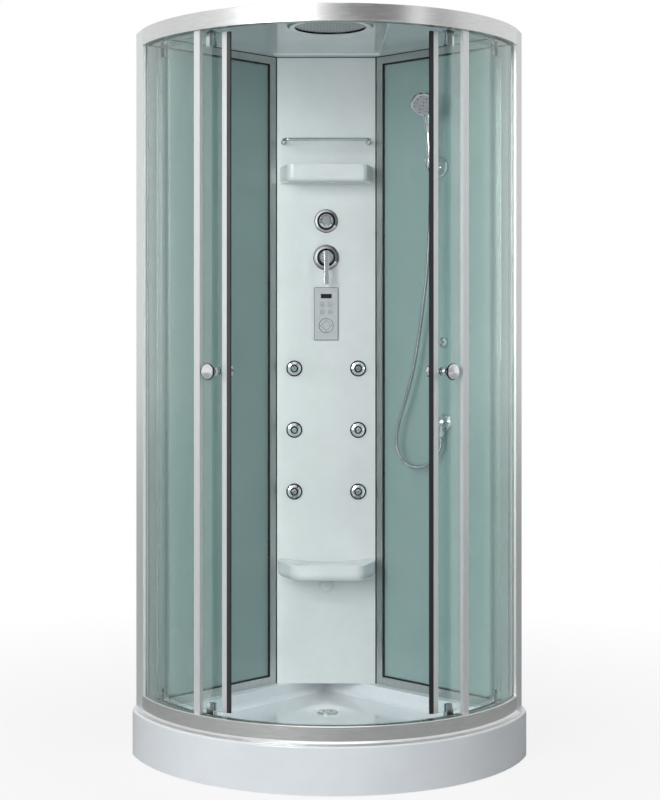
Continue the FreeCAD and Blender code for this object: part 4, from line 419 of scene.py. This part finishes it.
finish = {
    "acrylic": (screen(226, 231, 236), screen(233, 238, 242)),
    "column": (screen(222, 225, 226), screen(230, 233, 234)),
    "aluminium": (screen(190, 192, 191), screen(216, 217, 216)),
    "paleAluminium": (screen(206, 210, 210), screen(226, 229, 229)),
    "clearPane": (screen(232, 245, 242), screen(236, 247, 245)),
    "backPane": (screen(152, 176, 175), screen(160, 184, 182)),
    "chrome": (screen(205, 208, 212), screen(228, 230, 233)),
    "black": (screen(16, 17, 18), screen(30, 31, 32)),
    "fin": (screen(196, 204, 203), screen(214, 221, 219)),
    "brass": (screen(168, 138, 84), screen(196, 166, 104)),
    "window": (screen(9, 10, 12), screen(16, 17, 20)),
    "trap": (screen(205, 206, 200), screen(222, 222, 216)),
    "paint": (screen(118, 122, 124), screen(134, 138, 140)),
    "zinc": (screen(150, 153, 154), screen(186, 188, 190)),
    "nylon": (screen(214, 213, 206), screen(228, 227, 221)),
    "generator": (screen(150, 152, 155), screen(190, 192, 194)),
    "spray": (screen(150, 154, 160), screen(170, 174, 180)),
    "fascia": (screen(176, 180, 184), screen(206, 209, 212)),
    # painted shade: the hose core's grey stands for the shade between the windings
    "hoseShadeCore": (screen(108, 111, 115), screen(140, 143, 147)),
    "clearPassed": (0.985, 0.992, 0.991, 1),   # what a pane leaves of the lamps' light
    "backPassed": (0.35, 0.45, 0.44, 1),
}


def polished(name, rough=(0.04, 0.08)):
    return metal(name, *finish["chrome"], rough, grain=25, bumpiness=0.02)


# by the record's material slots, for the nodes with no finish of their own
materials = {
    "acrylic_white": plastic("sanitaryAcrylic", *finish["acrylic"], (0.10, 0.17), 500, 0.0001,
                             0.3),
    "column_white": plastic("columnAcrylic", *finish["column"], (0.14, 0.22), 500, 0.0001, 0.25),
    "clear_glass": glass("clearGlass", *finish["clearPane"], finish["clearPassed"], 1.0,
                         (0.0, 0.008)),
    "back_glass": glass("backGlass", *finish["backPane"], finish["backPassed"], 0.3,
                        (0.05, 0.09)),
    "black_seal": plastic("sealRubber", *finish["black"], (0.45, 0.6), 1500, 0.0003),
    "chrome": polished("chrome", (0.03, 0.07)),
    "chromed_plastic": metal("chromedPlastic", *finish["chrome"], (0.06, 0.11), grain=30,
                             bumpiness=0.03),
    "satin_aluminium": metal("aluminiumUpright", *finish["paleAluminium"], (0.3, 0.42),
                             (40, 40, 1), 22, metallic=0.5),
    "valve_brass": metal("castBrass", *finish["brass"], (0.3, 0.5), grain=180, depth=0.0004,
                         bumpiness=0.4),
    "black_plastic": plastic("displayWindow", *finish["window"], (0.05, 0.1), 300, 0.0001, 0.6),
    "drain_plastic": plastic("trapPlastic", *finish["trap"], (0.4, 0.55), 700),
    "frame_steel": plastic("paintedFrame", *finish["paint"], (0.35, 0.5), 350, 0.0004),
    "zinc_steel": metal("zincPlate", *finish["zinc"], (0.3, 0.5), grain=60, depth=0.0002,
                        bumpiness=0.25),
    "roller_plastic": plastic("rollerNylon", *finish["nylon"], (0.3, 0.4), 900),
    "generator_steel": metal("generatorCase", *finish["generator"], (0.28, 0.42), (1, 1, 14), 30),
}


# finishes with their own marks: painted shade rings in the gaps and holes of the jets and valves,
# key outlines, painted shade on the column's sides, joint lines at the wall tops

marks = {
    "sideOn": (1, 0, 1), "fromBelow": (1, 1, 0), "round": (1, 1, 1),
    "jets": [(side * 0.0995, 0, high) for high in (1.0967, 0.9052, 0.7128) for side in (-1, 1)],
    "jetShadeRings": [(0.0, 0.0024), (0.0085, 0.0122), (0.0208, 0.0260)],
    "valves": [(0, 0, 1.4426), (0, 0, 1.5565)],
    "valveShadeRings": [(0.0222, 0.0282), (0.0350, 0.0366), (0.0385, 0.0410)],
    "ringPaintedShade": (0.05, 0.05, 0.055, 1),
    "knobs": [(-0.3342, -0.3699, 1.104), (0.3268, -0.3755, 1.104)],
    "knobRings": [(0.0207, 0.0240)],
    "knobShade": (0.06, 0.06, 0.065, 1),
    "keys": [(side * 0.0123, 0, high) for high in (1.2962, 1.2725) for side in (-1, 1)],
    "keyRings": [(0.0060, 0.0068)],
    "keyDot": [(0.0, 0.0014)],
    "pad": [(0, 0, 1.2302)],
    "padRings": [(0.0120, 0.0128), (0.0216, 0.0230)],
    "padTicks": [(0.0172, 0, 1.2302), (-0.0172, 0, 1.2302), (0, 0, 1.2474), (0, 0, 1.2130)],
    "fasciaMiddle": 1.2675,
    "fasciaSides": [(0.0362, 0.1)], "fasciaEnds": [(0.0814, 0.2)],
    "columnSideShade": [(0.1532, 1)], "wallTops": [(2.0655, 3)],
    "overhead": [(0, -0.225, 0)],
    "overheadFace": [(0, 0.0975)], "overheadShade": (0.33, 0.33, 0.34, 1),
    "overheadRim": [(0.0975, 0.1000)],
    "overheadHoles": (0.009, 0.3, (0.25, 0.25, 0.26, 1)),   # spacing, share, shade
    "sprayHoles": (0.0085, 0.24, (0.12, 0.12, 0.13, 1)),
    "beyond": 1.0,       # a plane past the cabin, so that a distance tells one side from the other
    "finFront": -0.3,    # fins in front of this are soft and clear, gaskets behind it black
    "finBlur": 0.001, "finClear": 0.9, "gasketShade": (0.02, 0.02, 0.022, 1),
    "leftPaneShadeBand": [(1.0, 2.0)], "leftPanePaintedShade": (0.84, 0.84, 0.85, 1),
}


def ringed(name, flat, spots, rings, shade):
    material = polished(name)
    inked(material.node_tree, nearest(material.node_tree, flat, spots), rings, shade)
    return material


# painted shade: dark rings in the gaps round the jets' flanges and balls and in their holes, and
# in the valves' gaps and grooves
jetChrome = ringed("jetChrome", marks["sideOn"], marks["jets"], marks["jetShadeRings"],
                   marks["ringPaintedShade"])
valveChrome = ringed("valveChrome", marks["sideOn"], marks["valves"], marks["valveShadeRings"],
                     marks["ringPaintedShade"])
knobChrome = ringed("knobChrome", marks["round"], marks["knobs"], marks["knobRings"],
                    marks["knobShade"])

overheadChrome = polished("overheadChrome", (0.1, 0.2))
tree = overheadChrome.node_tree
rose = nearest(tree, marks["fromBelow"], marks["overhead"])
inked(tree, rose, marks["overheadFace"], marks["overheadShade"])
inked(tree, rose, marks["overheadRim"])
drilled(tree, *marks["overheadHoles"])

sprayFace = plastic("sprayFace", *finish["spray"], (0.3, 0.4), 1200)
drilled(sprayFace.node_tree, *marks["sprayHoles"])

fascia = metal("brushedFascia", *finish["fascia"], (0.3, 0.42), (1, 1, 30), 60, metallic=0.35)
tree = fascia.node_tree
for spots, rings in ((marks["keys"], marks["keyRings"] + marks["keyDot"]),
                     (marks["pad"], marks["padRings"]), (marks["padTicks"], marks["keyDot"])):
    inked(tree, nearest(tree, marks["sideOn"], spots), rings)
inked(tree, along(tree, "X"), marks["fasciaSides"])
inked(tree, along(tree, "Z", marks["fasciaMiddle"]), marks["fasciaEnds"])

columnAcrylic = plastic("columnShadeAndJoints", *finish["column"], (0.14, 0.22), 500, 0.0001, 0.25)
tree = columnAcrylic.node_tree
# painted shade: the column's side faces are darkened, for the shade in the gaps beside it
inked(tree, along(tree, "X"), marks["columnSideShade"])
inked(tree, along(tree, "Z"), marks["wallTops"])

levelAluminium = metal("aluminiumLevel", *finish["aluminium"], (0.26, 0.4), (1, 1, 40), 22)
frameAluminium = metal("aluminiumFrame", *finish["aluminium"], (0.26, 0.4), (40, 40, 1), 22)
tree = frameAluminium.node_tree
inked(tree, along(tree, "Z"), marks["wallTops"])

# black gaskets on the walls, pale soft fins beside the doors
gasketRubber = plastic("gasketRubber", *finish["fin"], (0.25, 0.4), 600, 0.0002)
tree = gasketRubber.node_tree
finEdge = marks["beyond"] - marks["finFront"]
inked(tree, along(tree, "Y", marks["beyond"]), [(0.0, finEdge)], marks["gasketShade"])
finShare = spread(tree, along(tree, "Y", marks["beyond"]), 0.0, marks["finClear"],
                  finEdge - marks["finBlur"], finEdge + marks["finBlur"])
clear = tree.nodes.new("ShaderNodeBsdfTransparent")
shown(tree, mixed(tree, finShare, tree.nodes["Principled BSDF"].outputs["BSDF"],
                  clear.outputs["BSDF"]))

# painted shade: the left back pane is darkened, for the lesser light that reaches it
tree = materials["back_glass"].node_tree
inked(tree, along(tree, "X", marks["beyond"]), marks["leftPaneShadeBand"], marks["leftPanePaintedShade"])

own = {
    "top_rail": levelAluminium, "bottom_rail": levelAluminium, "back_frames": frameAluminium,
    "column_panel": columnAcrylic, "service_pipes": materials["column_white"],
    "glass_gaskets": gasketRubber, "jet_bodies": jetChrome,
    "valve_escutcheons": valveChrome, "mixer_hub": valveChrome,
    "left_door_knob": knobChrome, "right_door_knob": knobChrome,
    "overhead_shower": overheadChrome, "handset_face": sprayFace,
    "control_unit": fascia, "key_1": fascia, "key_2": fascia, "key_3": fascia,
    "key_4": fascia, "key_pad": fascia,
}


def dress(thing, material):
    for slot in thing.material_slots:
        slot.material = material
    if not thing.material_slots:
        thing.data.materials.append(material)


slotOf = {row["node"]: row["material_slot"] for row in frame["record"]["subparts"]}
for name, node in nodes.items():
    dress(node, own.get(name) or materials[slotOf[name]])
dress(hoseWire, materials["chrome"])
dress(hoseTube, metal("hoseShadow", *finish["hoseShadeCore"], (0.3, 0.45)))
for piece in (fixedGlass, leftGlass, rightGlass):
    dress(piece, materials["clear_glass"])
print("materials set")


# who rides on what

for piece, node, body in ((fixedGlass, "fixed_glass_panels", "cabin"),
                          (leftGlass, "left_door_glass", "left_door"),
                          (rightGlass, "right_door_glass", "right_door")):
    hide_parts(node)
    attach(piece, body)
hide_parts("shower_hose")
for piece in (hoseTube, hoseWire):
    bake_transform(piece)


# lamps, world and floor

studio = {
    "lamps": [  # name, place, aim, width, height, watts
        ("keyLamp", (-1.95, -3.6, 2.1), (0.0, 0.0, 1.1), 1.7, 2.2, 100),
        ("fillLamp", (2.9, -2.6, 1.9), (-0.1, 0.1, 1.1), 0.5, 2.2, 10),
        ("topLamp", (0.0, -1.2, 4.2), (0.0, 0.0, 0.6), 2.4, 2.4, 28),
    ],
    "ambient": ((0.98, 0.99, 1.0, 1), 0.3),   # colour and strength
    "seenWorld": ((1, 1, 1, 1), 1.0),
    "mirroredWorld": (0.8, 0.8, 0.8, 1),
    "darkSide": (0.574, -0.819, 0),           # the unlit part of the room, right of the camera
    "sideGloss": (1.3, 0.22, 0.70, 0.88),     # lit and unlit strength, and from where to where
    "floorSize": 30.0,
    "floorSides": 64,
    "floorLow": -0.0005,
    "floorShade": 0.6,
    "floorRoughness": 0.9,
    "floorGlow": (0.86, 1.0, 0.75, 2.4),      # share near and far, and from where to where
    "floorGloss": (0.08, 1.0, 4.0, 26.0),     # the same, as the panes mirror it
}


def addLamp(name, spot, aim, width, height, watts):
    data = bpy.data.lights.new(name, "AREA")
    data.shape = "RECTANGLE"
    data.size = width
    data.size_y = height
    data.energy = watts
    lamp = sceneObject(name, data)
    lamp.location = spot
    lamp.rotation_euler = (Vector(aim) - Vector(spot)).to_track_quat("-Z", "Y").to_euler()


for row in studio["lamps"]:
    addLamp(*row)

# the world is white where it is seen, and darker to one side where it is mirrored
world = bpy.data.worlds.new("studioWorld")
scene.world = world
world.use_nodes = True
tree = world.node_tree


def backdrop(node, colour, strength):
    node.inputs["Color"].default_value = colour
    node.inputs["Strength"].default_value = strength
    return node.outputs[0]


ambient = backdrop(tree.nodes["Background"], *studio["ambient"])
seenWorld = backdrop(tree.nodes.new("ShaderNodeBackground"), *studio["seenWorld"])
mirror = tree.nodes.new("ShaderNodeBackground")
mirror.inputs["Color"].default_value = studio["mirroredWorld"]
aside = tree.nodes.new("ShaderNodeVectorMath")
aside.operation = "DOT_PRODUCT"
aside.inputs[1].default_value = studio["darkSide"]
tree.links.new(coordinates(tree, "Generated"), aside.inputs[0])
tree.links.new(spread(tree, aside.outputs["Value"], *studio["sideGloss"]),
               mirror.inputs["Strength"])
unseen = mixed(tree, rays(tree, "Glossy"), ambient, mirror.outputs[0])
lit = mixed(tree, rays(tree, "Camera", "Transmission"), unseen, seenWorld)
tree.links.new(lit, tree.nodes["World Output"].inputs["Surface"])

bm = bmesh.new()
bmesh.ops.create_circle(bm, cap_ends=True, segments=studio["floorSides"],
                        radius=studio["floorSize"])
bmesh.ops.translate(bm, verts=bm.verts, vec=(0, 0, studio["floorLow"]))
floorMesh = bpy.data.meshes.new("floor")
bm.to_mesh(floorMesh)
bm.free()
floor = sceneObject("floor", floorMesh)

# the floor takes shadows near the cabin and fades into the white world farther out
material, tree, shader = newMaterial("paleFloor", Roughness=studio["floorRoughness"],
                                     Specular_IOR_Level=0.0)
shader.inputs["Base Color"].default_value = [studio["floorShade"]] * 3 + [1]
glow = tree.nodes.new("ShaderNodeEmission")
reach = tree.nodes.new("ShaderNodeVectorMath")
reach.operation = "LENGTH"
tree.links.new(coordinates(tree), reach.inputs[0])
seenShare = maths(tree, "MULTIPLY", spread(tree, reach.outputs["Value"], *studio["floorGlow"]),
                  rays(tree, "Camera", "Transmission"))
glossShare = maths(tree, "MULTIPLY", spread(tree, reach.outputs["Value"], *studio["floorGloss"]),
                   rays(tree, "Glossy"))
shown(tree, mixed(tree, maths(tree, "MAXIMUM", seenShare, glossShare), shader.outputs["BSDF"],
                  glow.outputs[0]))
dress(floor, material)
scene.view_settings.view_transform = "Standard"
print("studio set")
